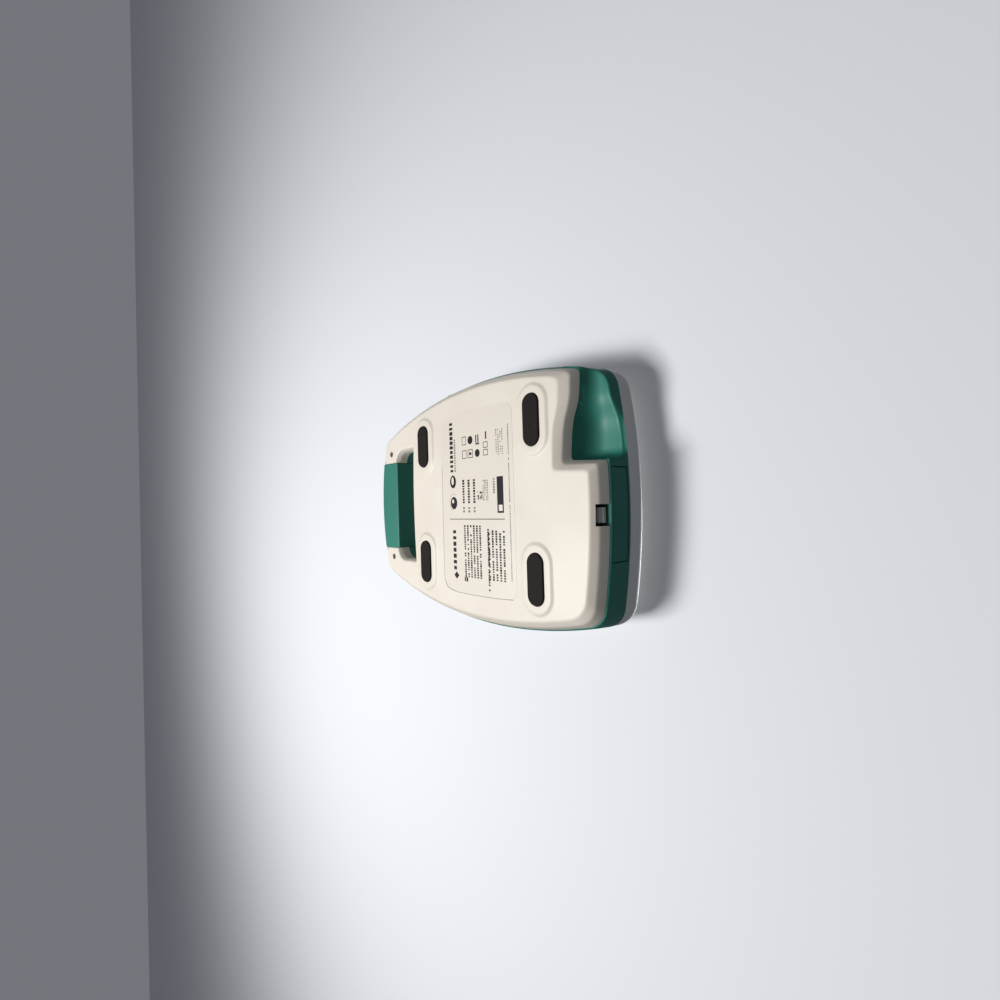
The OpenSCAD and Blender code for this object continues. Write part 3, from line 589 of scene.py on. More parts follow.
greyInk = finish("greyInk", (0.17, 0.16, 0.155), 0.55, scuff=0.5, scuffScale=220.0, bump=0.02,
                 Specular_IOR_Level=0.25)
paleInk = finish("paleInk", (0.62, 0.58, 0.5), 0.4, bump=0.02)
screenBorder = finish("screenBorder", (0.02, 0.03, 0.035), 0.15, bump=0.01, scuff=0.05)
print("materials made:", len(finishes) + 4)


def dress(obj, slot, body="console", replaces=(), material=None):
    obj.data.materials.clear()
    obj.data.materials.append(material or finishes[slot])
    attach(obj, body)
    if replaces:
        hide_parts(*replaces)
    return obj


rearSizes = {
    "plateZ": 3.0, "rimZ": 8.0, "seamZ": 15.9, "wall": 2.8, "floorZ": 6.0,
    "bossZ": 1.5, "bossMargin": 5.0, "bossSlope": 4.0, "footPocketZ": 3.4, "footGap": 0.15,
    "footLength": 40.0, "footWidth": 16.0,
    # how far each ring of a foot stands out from its full outline, and its height
    "footProfile": [(-2.2, 0.0), (-0.9, 0.02), (-0.3, 0.2), (0, 0.7), (0, 3.3)],
    # growth of the outline, of the hand slot and of the slot's front edge
    "plateGrow": (-5.0, 2.4, 0.5), "rimGrow": (0.0, 0.0, 0.0), "seamGrow": (3.0, 0.0, 0.0),
    "feet": [(55.7, 60.2), (-55.7, 60.2), (60.1, -83.7), (-60.1, -83.7)],
    "screwX": 54.6, "screwY": 123.0, "screwRecess": 3.1, "screwRecessZ": 6.0,
    "windowX": (5.0, 20.0), "windowY": -129.0, "windowZ": 6.0,
}
# the probe notch at three heights, from the -X side to the front edge
notchShapes = {
    "plate": [(0, -109.4), (-80, -108.9), (-68, -108.0), (-60, -105.6), (-53, -103.0), (-44, -102.2),
              (-20.4, -101.2), (-18.2, 0)],
    "rim": [(0, -116.6), (-84, -116.4), (-72, -115.7), (-64, -113.4), (-56, -110.3), (-46, -108.6),
            (-24.2, -106.8), (-22.9, 0)],
    "seam": [(0, -119.9), (-85, -119.5), (-73, -118.6), (-65, -116.2), (-58, -113.2), (-47, -111.2),
             (-27.6, -109.8), (-25.4, 0)],
}


def footBoss(cx, cy):
    # a raised pad with a soft slope, and the pocket that holds the foot
    s = rearSizes
    l, w, m = s["footLength"], s["footWidth"], s["bossMargin"]
    rise = s["plateZ"] - s["bossZ"]
    rows = []
    for i in range(9):
        t = i / 8
        out = m + s["bossSlope"] * (1 - t)
        z = s["plateZ"] - rise * (0.5 - 0.5 * math.cos(math.pi * t))
        rows.append(level(racetrack(cx, cy, l + 2 * out, w + 2 * out), z))
    for out, z in ((0.9, s["bossZ"]), (s["footGap"] + 0.25, s["bossZ"] + 0.05),
                   (s["footGap"], s["bossZ"] + 0.35), (s["footGap"], s["footPocketZ"])):
        rows.append(level(racetrack(cx, cy, l + 2 * out, w + 2 * out), z))
    points, faces = loft(rows)
    n = len(rows[0])
    faces.append(tuple(range(len(points) - n, len(points))))
    edge = rows[0][:, :2]
    return (points, faces), edge


def makeRearShell():
    s = rearSizes
    plate = caseContour(*s["plateGrow"], notchShapes["plate"], soften=2.0)
    rim = caseContour(*s["rimGrow"], notchShapes["rim"], soften=1.7)
    seam = caseContour(*s["seamGrow"], notchShapes["seam"], soften=1.4)
    low = inset(plate, 2.6)
    under = inset(seam, 0.7)
    inner = inset(seam, s["wall"])
    innerLow = inset(rim, s["wall"] + 0.6)
    levels = [level(low, s["plateZ"]), level(plate, s["plateZ"]), level(rim, s["rimZ"]),
              level(seam, s["seamZ"] - 0.2), level(under, s["seamZ"])]
    rows = filletRows(levels, [1.6, 1.5, 0.3], steps=5)
    rows += [level(inner, s["seamZ"]), level(innerLow, s["floorZ"])]
    wall = loft(rows)
    bosses, edges = zip(*[footBoss(x, y) for x, y in s["feet"]])
    flat, triangles = filled(low, edges)
    base = (level(flat, s["plateZ"]), triangles)
    flat, triangles = filled(innerLow)
    ceiling = (level(flat, s["floorZ"]), triangles)
    shell = makeObject("rearShell", *merge([wall, base, ceiling, *bosses]), sharp=40)
    cutters = [prism("recess", disc(side * s["screwX"], s["screwY"], s["screwRecess"], 40), 0,
                     s["screwRecessZ"])
               for side in (-1, 1)]
    x0, x1 = s["windowX"]
    cutters.append(prism("window", roundedRect(x0, x1, -160, s["windowY"], 0.8), s["windowZ"], 20.0))
    cut(shell, cutters, sharp=40)
    return dress(shell, "cream_case", replaces=["rear_shell"])


rearShell = makeRearShell()
print("rear shell made:", len(rearShell.data.polygons), "faces")


def makeFeet():
    s = rearSizes
    parts = []
    for cx, cy in s["feet"]:
        rows = []
        for out, z in s["footProfile"]:
            rows.append(level(racetrack(cx, cy, s["footLength"] + 2 * out, s["footWidth"] + 2 * out), z))
        parts.append(closedLoft(rows))
    feet = makeObject("rubberFeet", *merge(parts))
    return dress(feet, "rubber", replaces=["rubber_feet"])


makeFeet()


bandSizes = {
    "lowZ": 16.0, "proudZ": 20.0, "highZ": 36.0, "wall": 3.2,
    "growLow": 3.9, "growMid": 4.9, "growHigh": 6.6,
    "notchX": -26.0, "notchY": -104.0,
    "bayX": (-20.95, 45.95), "bayZ": (17.7, 34.3),
    "portY": 36.0, "portZ": 26.0, "usbHalf": (7.3, 4.3),
    "socketSeat": [(-125, 9.0), (-102.4, 9.0), (-102.4, 8.05), (-87, 8.05)],
}


def makeMiddleBand():
    s = bandSizes
    corner = [(0, s["notchY"]), (s["notchX"], s["notchY"]), (s["notchX"], 0)]
    lowRing = caseContour(s["growLow"], 0, 0, corner, soften=0)
    midRing = caseContour(s["growMid"], 0, 0, corner, soften=0)
    highRing = caseContour(s["growHigh"], 0, 0, corner, soften=0)
    levels = [level(inset(lowRing, s["wall"]), s["lowZ"]), level(lowRing, s["lowZ"]),
              level(midRing, s["proudZ"]), level(highRing, s["highZ"] - 0.1),
              level(inset(highRing, s["wall"]), s["highZ"] - 0.1)]
    rows = filletRows(levels, [1.1, 1.8, 0.5], steps=5)
    band = makeObject("middleBand", *loft(rows, wrap=True), sharp=40)
    x0, x1 = s["bayX"]
    y, z = s["portY"], s["portZ"]
    wide, tall = s["usbHalf"]
    cutters = [prism("bayMouth", roundedRect(x0, x1, -160, -128, 0.6), *s["bayZ"]),
               turnedX("socketSeat", s["socketSeat"], y, z),
               prism("usbMouth", roundedRect(88, 125, y - wide, y + wide, 0.6), z - tall, z + tall)]
    cut(band, cutters, sharp=40)
    return dress(band, "green_case", replaces=["middle_band"])


middleBand = makeMiddleBand()
print("middle band made")


cradleSizes = {
    "lowZ": 16.05, "midZ": 15.0, "topZ": 35.9, "lip": 1.2, "lipY": -143.5,
    "endX": -26.1, "backY": -104.1, "pitch": 1.5, "blend": 3.2, "blendEnd": -36.0,
    "outerGrow": 6.5, "midGrow": 5.2, "edgeGrow": 4.6,
    # middle and half size of the place where the roof rises, and the height of the rise
    "riseAt": (-45, -124), "riseHalf": (22, 14), "rise": 3,
    # x, back wall y, ceiling y, ceiling z, lip z
    "sections": [(-130, -119.6, -131, 26.5, 24.2), (-72, -118.8, -130.5, 26.8, 24.3),
                 (-66, -116.8, -130, 29.0, 26.4), (-60, -113.8, -129, 32.4, 30.2),
                 (-54, -111.4, -128, 34.6, 32.8), (-47, -110.7, -128, 35.2, 33.6),
                 (-34, -110.4, -128, 35.2, 33.4), (-31, -110.4, -128, 34.6, 32.8),
                 (-28.4, -110.4, -128, 32.6, 31.0), (-27.2, -110.4, -128, 28.0, 26.5),
                 (-26, -110.4, -128, 18.0, 17.0)],
}


def eased(x, xs, values):
    # the sections blended along x, softly except at the steep end
    s = cradleSizes
    fine = np.arange(xs[0] - 20, xs[-1] + 20, 0.5)
    sharp = np.interp(fine, xs, values)
    spread = np.arange(-24, 25)
    kernel = np.exp(-0.5 * (spread * 0.5 / s["blend"]) ** 2)
    soft = np.convolve(np.pad(sharp, 24, mode="edge"), kernel / kernel.sum(), mode="valid")
    part = np.clip((s["blendEnd"] - fine) / 6, 0, 1)
    return np.interp(x, fine, sharp + (soft - sharp) * part)


def scoopZ(x, y):
    # height of the hollow's ceiling over a point of the plan
    s = cradleSizes
    xs, *rest = zip(*s["sections"])
    wallY, apexY, apexZ, lipZ = (eased(x, xs, values) for values in rest)
    u = np.clip((y - apexY) / (wallY - apexY), 0, 1)
    behind = s["midZ"] + (apexZ - s["midZ"]) * np.sqrt(1 - u * u)
    w = np.clip((apexY - y) / (apexY - s["lipY"]), 0, 1.05)
    ahead = apexZ - (apexZ - lipZ) * (0.2 * w + 0.8 * w * w)
    return np.maximum(np.where(y > apexY, behind, ahead), s["lowZ"])


def cradleRing(grow):
    s, arcs = cradleSizes, caseArcs(grow)
    (side, sideR), (front, frontR), fc = arcs["side"], arcs["front"], arcs["frontCorner"]
    fcLeft = fc * [-1, 1]
    a1 = math.pi - bearing(fc - front)
    a2 = math.pi - bearing(fc - side)
    aTop = math.asin((s["backY"] - side[1]) / sideR)
    topLeft = (side + sideR * np.array([math.cos(aTop), math.sin(aTop)])) * [-1, 1]
    leftSide = arcPoints(side, sideR, aTop, bearing(fc - side), 12) * [-1, 1]
    corner = arcPoints(fcLeft, outlineSizes["frontCorner"], a2, a1, 16)
    aEnd = -math.acos(s["endX"] / frontR)
    frontEdge = arcPoints(front, frontR, a1 - 2 * math.pi, aEnd, 26)
    endPoint = front + frontR * np.array([math.cos(aEnd), math.sin(aEnd)])
    wall = resampled([endPoint, (s["endX"], s["backY"])], 20)
    top = resampled([(s["endX"], s["backY"]), topLeft], 34)
    return np.vstack([leftSide, corner, frontEdge, wall, top])


def makeCradle():
    s = cradleSizes
    outer, mid, edge = cradleRing(s["outerGrow"]), cradleRing(s["midGrow"]), cradleRing(s["edgeGrow"])
    lipRing = inset(edge, s["lip"])
    lipZ = scoopZ(lipRing[:, 0], lipRing[:, 1])
    edgeZ = scoopZ(edge[:, 0], edge[:, 1]) + s["lip"]
    edgeZ = np.minimum(edgeZ, s["topZ"] - 0.9)
    steepZ = np.minimum(lipZ + 0.3, s["topZ"] - 1.2)
    near = inset(edge, s["lip"] * 0.35)
    midZ = np.maximum(edgeZ + 0.6, 30)
    rows = [np.column_stack([lipRing, lipZ]), np.column_stack([near, steepZ]),
            np.column_stack([edge, edgeZ]), np.column_stack([mid, np.minimum(midZ, s["topZ"] - 0.4)]),
            level(outer, s["topZ"])]
    wall = loft(rows)
    xs = np.arange(-112, s["endX"], s["pitch"])
    ys = np.concatenate([np.arange(-146, -114, s["pitch"]), np.arange(-114, -110, 0.5), [-107]])
    grid = np.array([(x, y) for x in xs for y in ys])
    grid = grid[insideRing(grid, inset(lipRing, 1.2))]
    flat, triangles = filled(lipRing, extra=grid)
    under = (np.column_stack([flat, scoopZ(flat[:, 0], flat[:, 1])]), triangles)
    bulge = grid[insideRing(grid, inset(outer, 8))]
    flat, triangles = filled(outer, extra=bulge)
    # the roof rises a little inside the screen-side shell, over the deep end
    far = np.linalg.norm((flat - s["riseAt"]) / s["riseHalf"], axis=1)
    raised = np.outer(np.clip(1.2 - far, 0, 0.5) * s["rise"], (0, 0, 1))
    top = (level(flat, s["topZ"]) + raised, triangles)
    cradle = makeObject("probeCradle", *merge([wall, under, top]), sharp=60)
    return dress(cradle, "green_case", replaces=["probe_cradle"])


makeCradle()
print("cradle made")


frontSizes = {
    "seamZ": 36.1, "roofZ": 68.0, "wall": 2.8, "widest": 7.0, "deepest": -22.0,
    "profile": [(6.3, 36.6), (6.8, 41), (7.0, 46), (6.0, 51.5), (3.6, 56), (-0.2, 60.3), (-5, 63.6),
                (-10.5, 66), (-16, 67.4), (-22, 68.0)],
    "slopeY": 82.0, "slope": 0.26, "slotLip": 3.0,
    "screen": (-60, 60, -68, 22), "screenDepth": 1.5, "screenHole": (-52, 52, -60, 14),
    "keys": (-60, 60, -110, -70.5), "keyDepth": 0.65,
    "door": (-33.6, 33.6, 39.4, 80.6),
    "doorFloorZ": 58, "speaker": (-50, 37, 11.05), "speakerRim": 2, "speakerDepth": 1.6,
    "seamGrow": 6.0, "gridX": 6.0, "gridY": 4.0, "cutLowZ": 58, "cutHighZ": 80,
    # growth and height of the inside wall's rings
    "innerLevels": [(1.6, 50), (-4, 58), (-14, 62.6), (-25, 65.2)],
    "innerDeepest": -21.5, "innerSlot": 3.2, "innerStep": 0.6,
    "softKeyX": (-42, -14, 14, 42), "softKeyY": -78, "softKeyHalf": (9.3, 4.8),
    "roundKeys": [(-42, -98, 7.3), (0, -98, 9.3), (42, -98, 7.3)],
}


def roofDrop(y):
    # the top falls away towards the handle, starting gently
    s = frontSizes
    over = np.clip(y - s["slopeY"], 0, None)
    return s["slope"] * (np.sqrt(over ** 2 + 36) - 6)


def frontRing(grow, slotGrow):
    s = frontSizes
    wide = caseContour(s["widest"], slotGrow, slotGrow)
    deep = caseContour(s["deepest"], slotGrow, slotGrow)
    y = wide[:, 1]
    ease = 1 - 0.5 * np.clip((y - 60) / 50, 0, 1) ** 2
    share = (s["widest"] - grow) / (s["widest"] - s["deepest"]) * ease
    return wide + (deep - wide) * share[:, None]


def liftedTo(ring, z):
    s = frontSizes
    scale = (s["roofZ"] - roofDrop(ring[:, 1]) - s["seamZ"]) / (s["roofZ"] - s["seamZ"])
    return np.column_stack([ring, s["seamZ"] + (z - s["seamZ"]) * scale])


def smoothProfile(points, count):
    # Catmull-Rom through the (growth, height) pairs
    p = np.array([points[0]] + list(points) + [points[-1]], float)
    rows = []
    spans = len(points) - 1
    for k in range(count + 1):
        at = min(k / count * spans, spans - 1e-6)
        i = int(at)
        t = at - i
        a, b, c, d = p[i], p[i + 1], p[i + 2], p[i + 3]
        square, cube = 2 * a - 5 * b + 4 * c - d, 3 * b - a - 3 * c + d
        rows.append(0.5 * (2 * b + (c - a) * t + square * t * t + cube * t ** 3))
    return rows


def makeFrontShell():
    s = frontSizes
    seam = caseContour(s["seamGrow"])
    rows = [liftedTo(inset(seam, s["wall"] + 0.4), s["seamZ"]), liftedTo(seam, s["seamZ"])]
    for grow, z in smoothProfile(s["profile"], 26):
        near = max(0.0, (z - (s["roofZ"] - s["slotLip"])) / s["slotLip"])
        lip = s["slotLip"] * (1 - math.sqrt(max(0, 1 - near * near)))
        rows.append(liftedTo(frontRing(grow, lip), z))
    wall = loft(rows)
    grid = np.array([(x, y) for x in np.arange(-96, 97, s["gridX"])
                     for y in np.arange(-132, 142, s["gridY"])])

    def cap(ring, z):
        inner = grid[insideRing(grid, inset(ring, 2.0))]
        flat, triangles = filled(ring, extra=inner)
        return liftedTo(flat, z), triangles

    roof = cap(rows[-1][:, :2], s["roofZ"])
    inner = [rows[0]]
    for grow, z in s["innerLevels"]:
        ring = frontRing(max(grow, s["innerDeepest"]), s["innerSlot"])
        inner.append(liftedTo(inset(ring, s["innerStep"]), z))
    innerWall = loft(inner)
    ceiling = cap(inner[-1][:, :2], s["innerLevels"][-1][1])
    shell = makeObject("frontShell", *merge([wall, roof, innerWall, ceiling]), sharp=40)
    pockets = [(roundedRect(*s["screen"], 3), s["roofZ"] - s["screenDepth"]),
               (roundedRect(*s["keys"], 3), s["roofZ"] - s["keyDepth"]),
               (roundedRect(*s["door"], 0.8), s["doorFloorZ"])]
    x, y, r = s["speaker"]
    pockets.append((disc(x, y, r), s["roofZ"] - s["speakerDepth"]))
    cut(shell, [prism("pocket", ring, z, s["cutHighZ"]) for ring, z in pockets], sharp=40)
    holes = [roundedRect(*s["screenHole"], 1)]
    wide, tall = s["softKeyHalf"]
    for keyX in s["softKeyX"]:
        holes.append(roundedRect(keyX - wide, keyX + wide, s["softKeyY"] - tall, s["softKeyY"] + tall, 1.6))
    holes += [disc(*key) for key in s["roundKeys"]]
    holes.append(disc(x, y, r - s["speakerRim"]))
    cut(shell, [prism("hole", ring, s["cutLowZ"], s["cutHighZ"]) for ring in holes], sharp=40)
    return dress(shell, "white_case", replaces=["front_shell"])


frontShell = makeFrontShell()
print("screen-side shell made:", len(frontShell.data.polygons), "faces")


gripSizes = {
    "half": 45.0, "y0": 113.0, "z0": 3.4, "z1": 50.5,
    # corner radii: slot side low, back low, back high, slot side high
    "rounds": (1.6, 3.0, 9.0, 3.0),
    # how much lower the back is than the slot side, and the two steps that round the sleeve's ends
    "backDrop": 4, "endShrink": 0.35, "nearShrink": 0.1,
}


def cornered(corners, steps=8):
    # a polygon with each corner (x, y, radius) rounded
    points = []
    p = np.array(corners, float)
    for k in range(len(p)):
        here, r = p[k, :2], p[k, 2]
        back, ahead = p[k - 1, :2] - here, p[(k + 1) % len(p), :2] - here
        back, ahead = back / np.linalg.norm(back), ahead / np.linalg.norm(ahead)
        half = math.acos(np.clip(back @ ahead, -1, 1)) / 2
        a, b = here + back * r / math.tan(half), here + ahead * r / math.tan(half)
        for i in range(steps + 1):
            t = i / steps
            points.append((1 - t) ** 2 * a + 2 * t * (1 - t) * here + t * t * b)
    return np.array(points)


def makeGrip():
    # a sleeve with its section swept across the handle, following the bowed back edge
    s = gripSizes
    backC = outlineSizes["backY"] - outlineSizes["backRadius"]
    backR = outlineSizes["backRadius"] + outlineSizes["backGrowth"]
    xs = np.concatenate([[-s["half"], -s["half"] + 0.25],
                         np.linspace(-s["half"] + 1.5, s["half"] - 1.5, 41),
                         [s["half"] - 0.25, s["half"]]])
    r0, r1, r2, r3 = s["rounds"]
    rows = []
    for x in xs:
        y1 = backC + math.sqrt(backR ** 2 - x * x)
        shrink = 0.0
        if abs(x) > s["half"] - 0.3:
            shrink = s["endShrink"] if abs(x) == s["half"] else s["nearShrink"]
        y0, y1, z0, z1 = s["y0"] + shrink, y1 - shrink, s["z0"] + shrink, s["z1"] - shrink
        ring = cornered([(y0, z0, r0), (y1, z0, r1), (y1, z1 - s["backDrop"], r2), (y0, z1, r3)])
        rows.append(np.column_stack([np.full(len(ring), x), ring]))
    grip = makeObject("handleGrip", *closedLoft(rows), sharp=50)
    return dress(grip, "green_case", replaces=["handle_grip"])


makeGrip()
print("grip made")


def nodesModifier(obj, tree, values):
    modifier = obj.modifiers.new("repeat", "NODES")
    modifier.node_group = tree
    for item in tree.interface.items_tree:
        if item.item_type == "SOCKET" and item.in_out == "INPUT" and item.name in values:
            modifier[item.identifier] = values[item.name]
    return bake(obj)


def geometryTree(name, inputs):
    tree = bpy.data.node_groups.new(name, "GeometryNodeTree")
    tree.is_modifier = True
    tree.interface.new_socket("Geometry", in_out="INPUT", socket_type="NodeSocketGeometry")
    tree.interface.new_socket("Geometry", in_out="OUTPUT", socket_type="NodeSocketGeometry")
    for label, kind, value in inputs:
        socket = tree.interface.new_socket(label, in_out="INPUT", socket_type=kind)
        socket.default_value = value
    return tree, tree.nodes.new("NodeGroupInput"), tree.nodes.new("NodeGroupOutput")


def makePrintTree():
    # a block of blank print: rows of short bars with uneven lengths
    tree, src, out = geometryTree("printedRows", [
        ("Columns", "NodeSocketInt", 10), ("Rows", "NodeSocketInt", 4),
        ("Pitch", "NodeSocketVector", (0.002, 0.003, 0)),
        ("Mark", "NodeSocketVector", (0.0014, 0.001, 0.00004)), ("Start", "NodeSocketVector", (0, 0, 0)),
        ("Missing", "NodeSocketFloat", 0.15), ("Seed", "NodeSocketInt", 1),
        ("Ink", "NodeSocketMaterial", None)])
    new = lambda kind, values=None, **settings: addNode(tree, kind, values, **settings)
    less = lambda value: new("ShaderNodeMath", {0: value, 1: 1.0}, operation="SUBTRACT").outputs[0]
    split = new("ShaderNodeSeparateXYZ", {0: src.outputs["Pitch"]})
    sizeX = new("ShaderNodeMath", {0: less(src.outputs["Columns"]), 1: split.outputs[0]},
                operation="MULTIPLY")
    sizeY = new("ShaderNodeMath", {0: less(src.outputs["Rows"]), 1: split.outputs[1]}, operation="MULTIPLY")
    grid = new("GeometryNodeMeshGrid", {"Size X": sizeX.outputs[0], "Size Y": sizeY.outputs[0],
                                        "Vertices X": src.outputs["Columns"],
                                        "Vertices Y": src.outputs["Rows"]})
    index = new("GeometryNodeInputIndex")
    chance = new("FunctionNodeRandomValue", {"ID": index.outputs[0], "Seed": src.outputs["Seed"]},
                 data_type="FLOAT")
    numbers = [s for s in chance.outputs if s.type == "VALUE"][0]
    gone = new("FunctionNodeCompare", {0: numbers, 1: src.outputs["Missing"]}, operation="LESS_THAN")
    kept = new("GeometryNodeDeleteGeometry",
               {"Geometry": grid.outputs["Mesh"], "Selection": gone.outputs[0]})
    bar = new("GeometryNodeMeshCube", {"Size": src.outputs["Mark"]})
    stretch = new("FunctionNodeRandomValue", {"ID": index.outputs[0], "Seed": 7}, data_type="FLOAT_VECTOR")
    vectors = [s for s in stretch.inputs if s.type == "VECTOR"]
    vectors[0].default_value = (0.6, 0.75, 1.0)
    vectors[1].default_value = (1.1, 1.0, 1.0)
    scale = [s for s in stretch.outputs if s.type == "VECTOR"][0]
    marks = new("GeometryNodeInstanceOnPoints", {"Points": kept.outputs[0], "Instance": bar.outputs["Mesh"],
                                                 "Scale": scale})
    placed = new("GeometryNodeTransform",
                 {"Geometry": marks.outputs[0], "Translation": src.outputs["Start"]})
    real = new("GeometryNodeRealizeInstances", {"Geometry": placed.outputs[0]})
    inked = new("GeometryNodeSetMaterial", {"Geometry": real.outputs[0], "Material": src.outputs["Ink"]})
    tree.links.new(inked.outputs[0], out.inputs[0])
    return tree


def makeRibTree():
    # straight ribs side by side
    tree, src, out = geometryTree("ribRow", [
        ("Count", "NodeSocketInt", 8), ("First", "NodeSocketVector", (0, 0, 0)),
        ("Step", "NodeSocketVector", (0, 0.003, 0)),
        ("Rib", "NodeSocketVector", (0.02, 0.001, 0.0006)), ("Finish", "NodeSocketMaterial", None)])
    new = lambda kind, values=None, **settings: addNode(tree, kind, values, **settings)
    line = new("GeometryNodeMeshLine",
               {"Count": src.outputs["Count"], "Start Location": src.outputs["First"],
                "Offset": src.outputs["Step"]})
    block = new("GeometryNodeMeshCube", {"Size": src.outputs["Rib"]})
    ribs = new("GeometryNodeInstanceOnPoints",
               {"Points": line.outputs[0], "Instance": block.outputs["Mesh"]})
    real = new("GeometryNodeRealizeInstances", {"Geometry": ribs.outputs[0]})
    done = new("GeometryNodeSetMaterial", {"Geometry": real.outputs[0], "Material": src.outputs["Finish"]})
    tree.links.new(done.outputs[0], out.inputs[0])
    return tree


printTree = makePrintTree()
ribTree = makeRibTree()


def emptyObject(name):
    return linked(name, bpy.data.meshes.new(name))


labelSizes = {
    "highZ": 3.0, "lowZ": 2.83, "printZ": 2.81, "thick": 0.02, "edge": 0.3, "edgeZ": 0.03,
    "outline": [(-76, 33.2), (66, 33.6), (76, 31), (80.6, 14), (80.9, -30), (78.6, -62), (-78, -62),
                (-80.8, 0)],
    "rule": [(-34, 31.9), (20, 32.6), (68, 32.6), (74.5, 31.2), (78.2, 27.4), (80.3, 15), (80.6, -10),
             (80.2, -38), (78.8, -60)],
    # rectangles: x0, x1, y0, y1, corner; ovals: cx, cy, half width, half height
    "darkBar": (-20, 9.8, -50, -42.4, 0.4), "paleBar": (3.2, 8.2, -48.6, -44.0, 0.2),
    "darkOvals": [(-18.9, 16, 5.8, 4.4), (0.3, 15.4, 5.6, 4.7)],
    "paleOvals": [(-19.6, 16.6, 3.6, 1.7), (-1.2, 16.6, 1.9, 1.4)], "paleLift": 0.005,
    # the block of small squares: how many a side, first corner, step and size
    "squares": 7, "squareAt": (-8.7, -24.5), "squareStep": 0.97, "square": 0.95,
    "ruleWidth": 0.45, "divider": [(14.85, 22.2), (14.85, -50.7)], "dividerWidth": 0.9,
    "curve": (-0.3, 15.4, 7.6, 6.2), "curveWidth": 0.35, "frameWidth": 0.6,
}
# blocks of blank marks. name: columns, rows, pitch, mark size, centre, share left out, ink
printBlocks = {
    "titleLeft": (11, 1, (4.25, 3), (3.0, 4.9), (-50, 17.2), 0.0, "dark"),
    "titleSmall": (13, 1, (2.3, 3), (1.7, 2.3), (-42.5, 12.3), 0.0, "grey"),
    "titleRight": (7, 1, (5.4, 3), (3.5, 4.8), (42.5, 15.8), 0.0, "dark"),
    "numbers": (9, 3, (2.35, 7.3), (1.9, 3.1), (-9.4, -6.1), 0.05, "dark"),
    "numberBoxes": (2, 3, (2.9, 7.3), (1.9, 2.8), (6.6, -6.1), 0.0, "grey"),
    "addressUpper": (23, 6, (2.0, 4.1), (1.7, 2.4), (43, -9.4), 0.1, "dark"),
    "addressLower": (20, 5, (2.1, 4.5), (1.75, 2.5), (45, -40), 0.12, "dark"),
    "addressHead": (25, 1, (2.1, 3), (1.75, 2.5), (49, -30), 0.08, "dark"),
    "besideSquare": (9, 4, (2.0, 1.8), (1.6, 1.1), (-9.5, -28.2), 0.2, "grey"),
    "corner": (11, 4, (2.0, 2.4), (1.5, 1.2), (-48, -46.6), 0.2, "grey"),
    "madeLine": (9, 1, (2.2, 2), (1.6, 2.4), (-9.4, -38.8), 0.12, "grey"),
    "footLine": (60, 1, (2.1, 2), (1.7, 1.2), (1.4, -57), 0.06, "grey"),
}
# small symbols: kind, centre, half size
symbols = [("frame", (-42, -1.4), (3.4, 2.6)), ("frame", (-54, -1.4), (3.4, 2.6)),
           ("disc", (-53.8, -9.8), (3.6, 3.4)), ("frame", (-42, -9.6), (3.4, 3.2)),
           ("bar", (-42, -9.6), (1.2, 1.6)), ("disc", (-41.6, -19), (3.4, 3.2)),
           ("bar", (-54, -17.6), (3.4, 0.7)), ("bar", (-54, -20.4), (3.4, 0.7)),
           ("bar", (-49.6, -19.4), (0.7, 2.4)), ("frame", (-41.2, -29.6), (2.3, 2.7)),
           ("frame", (-47.6, -29.6), (2.3, 2.7)), ("bar", (-55.5, -30.4), (3.2, 0.8)),
           ("bar", (67.8, 2.2), (1.9, 0.8)), ("bar", (67.8, -0.6), (1.9, 1.2)),
           ("diamond", (65.2, 14.2), (3.4, 3.6))]


def thinPrism(ring, low=0.0):
    z = labelSizes["printZ"] - low
    return prism("mark", ring, z, z + labelSizes["thick"])


def ellipse(cx, cy, rx, ry, steps=40):
    a = np.linspace(0, 2 * math.pi, steps, endpoint=False)
    return np.column_stack([cx + rx * np.cos(a), cy + ry * np.sin(a)])


def ribbon(points, width):
    # a thin printed line along a path
    path = np.array(points, float)
    ahead = np.gradient(path, axis=0)
    ahead /= np.linalg.norm(ahead, axis=1, keepdims=True)
    side = np.column_stack([-ahead[:, 1], ahead[:, 0]]) * width / 2
    z = labelSizes["printZ"]
    rows = [np.vstack([level(np.array([p + d, p - d]), z),
                       level(np.array([p - d, p + d]), z + labelSizes["thick"])])
            for p, d in zip(path, side)]
    return makeObject("line", *closedLoft(rows))


def symbol(kind, centre, half):
    (cx, cy), (rx, ry) = centre, half
    if kind == "bar":
        return [thinPrism(roundedRect(cx - rx, cx + rx, cy - ry, cy + ry, 0.2, 2))]
    if kind == "disc":
        return [thinPrism(ellipse(cx, cy, rx, ry))]
    if kind == "diamond":
        return [thinPrism(np.array([(cx + rx, cy), (cx, cy + ry), (cx - rx, cy), (cx, cy - ry)]))]
    width = labelSizes["frameWidth"]
    x0, x1, y0, y1 = cx - rx, cx + rx, cy - ry, cy + ry
    sides = ([(x0, y0), (x1, y0)], [(x0, y1), (x1, y1)], [(x0, y0), (x0, y1)], [(x1, y0), (x1, y1)])
    return [ribbon(ends, width) for ends in sides]


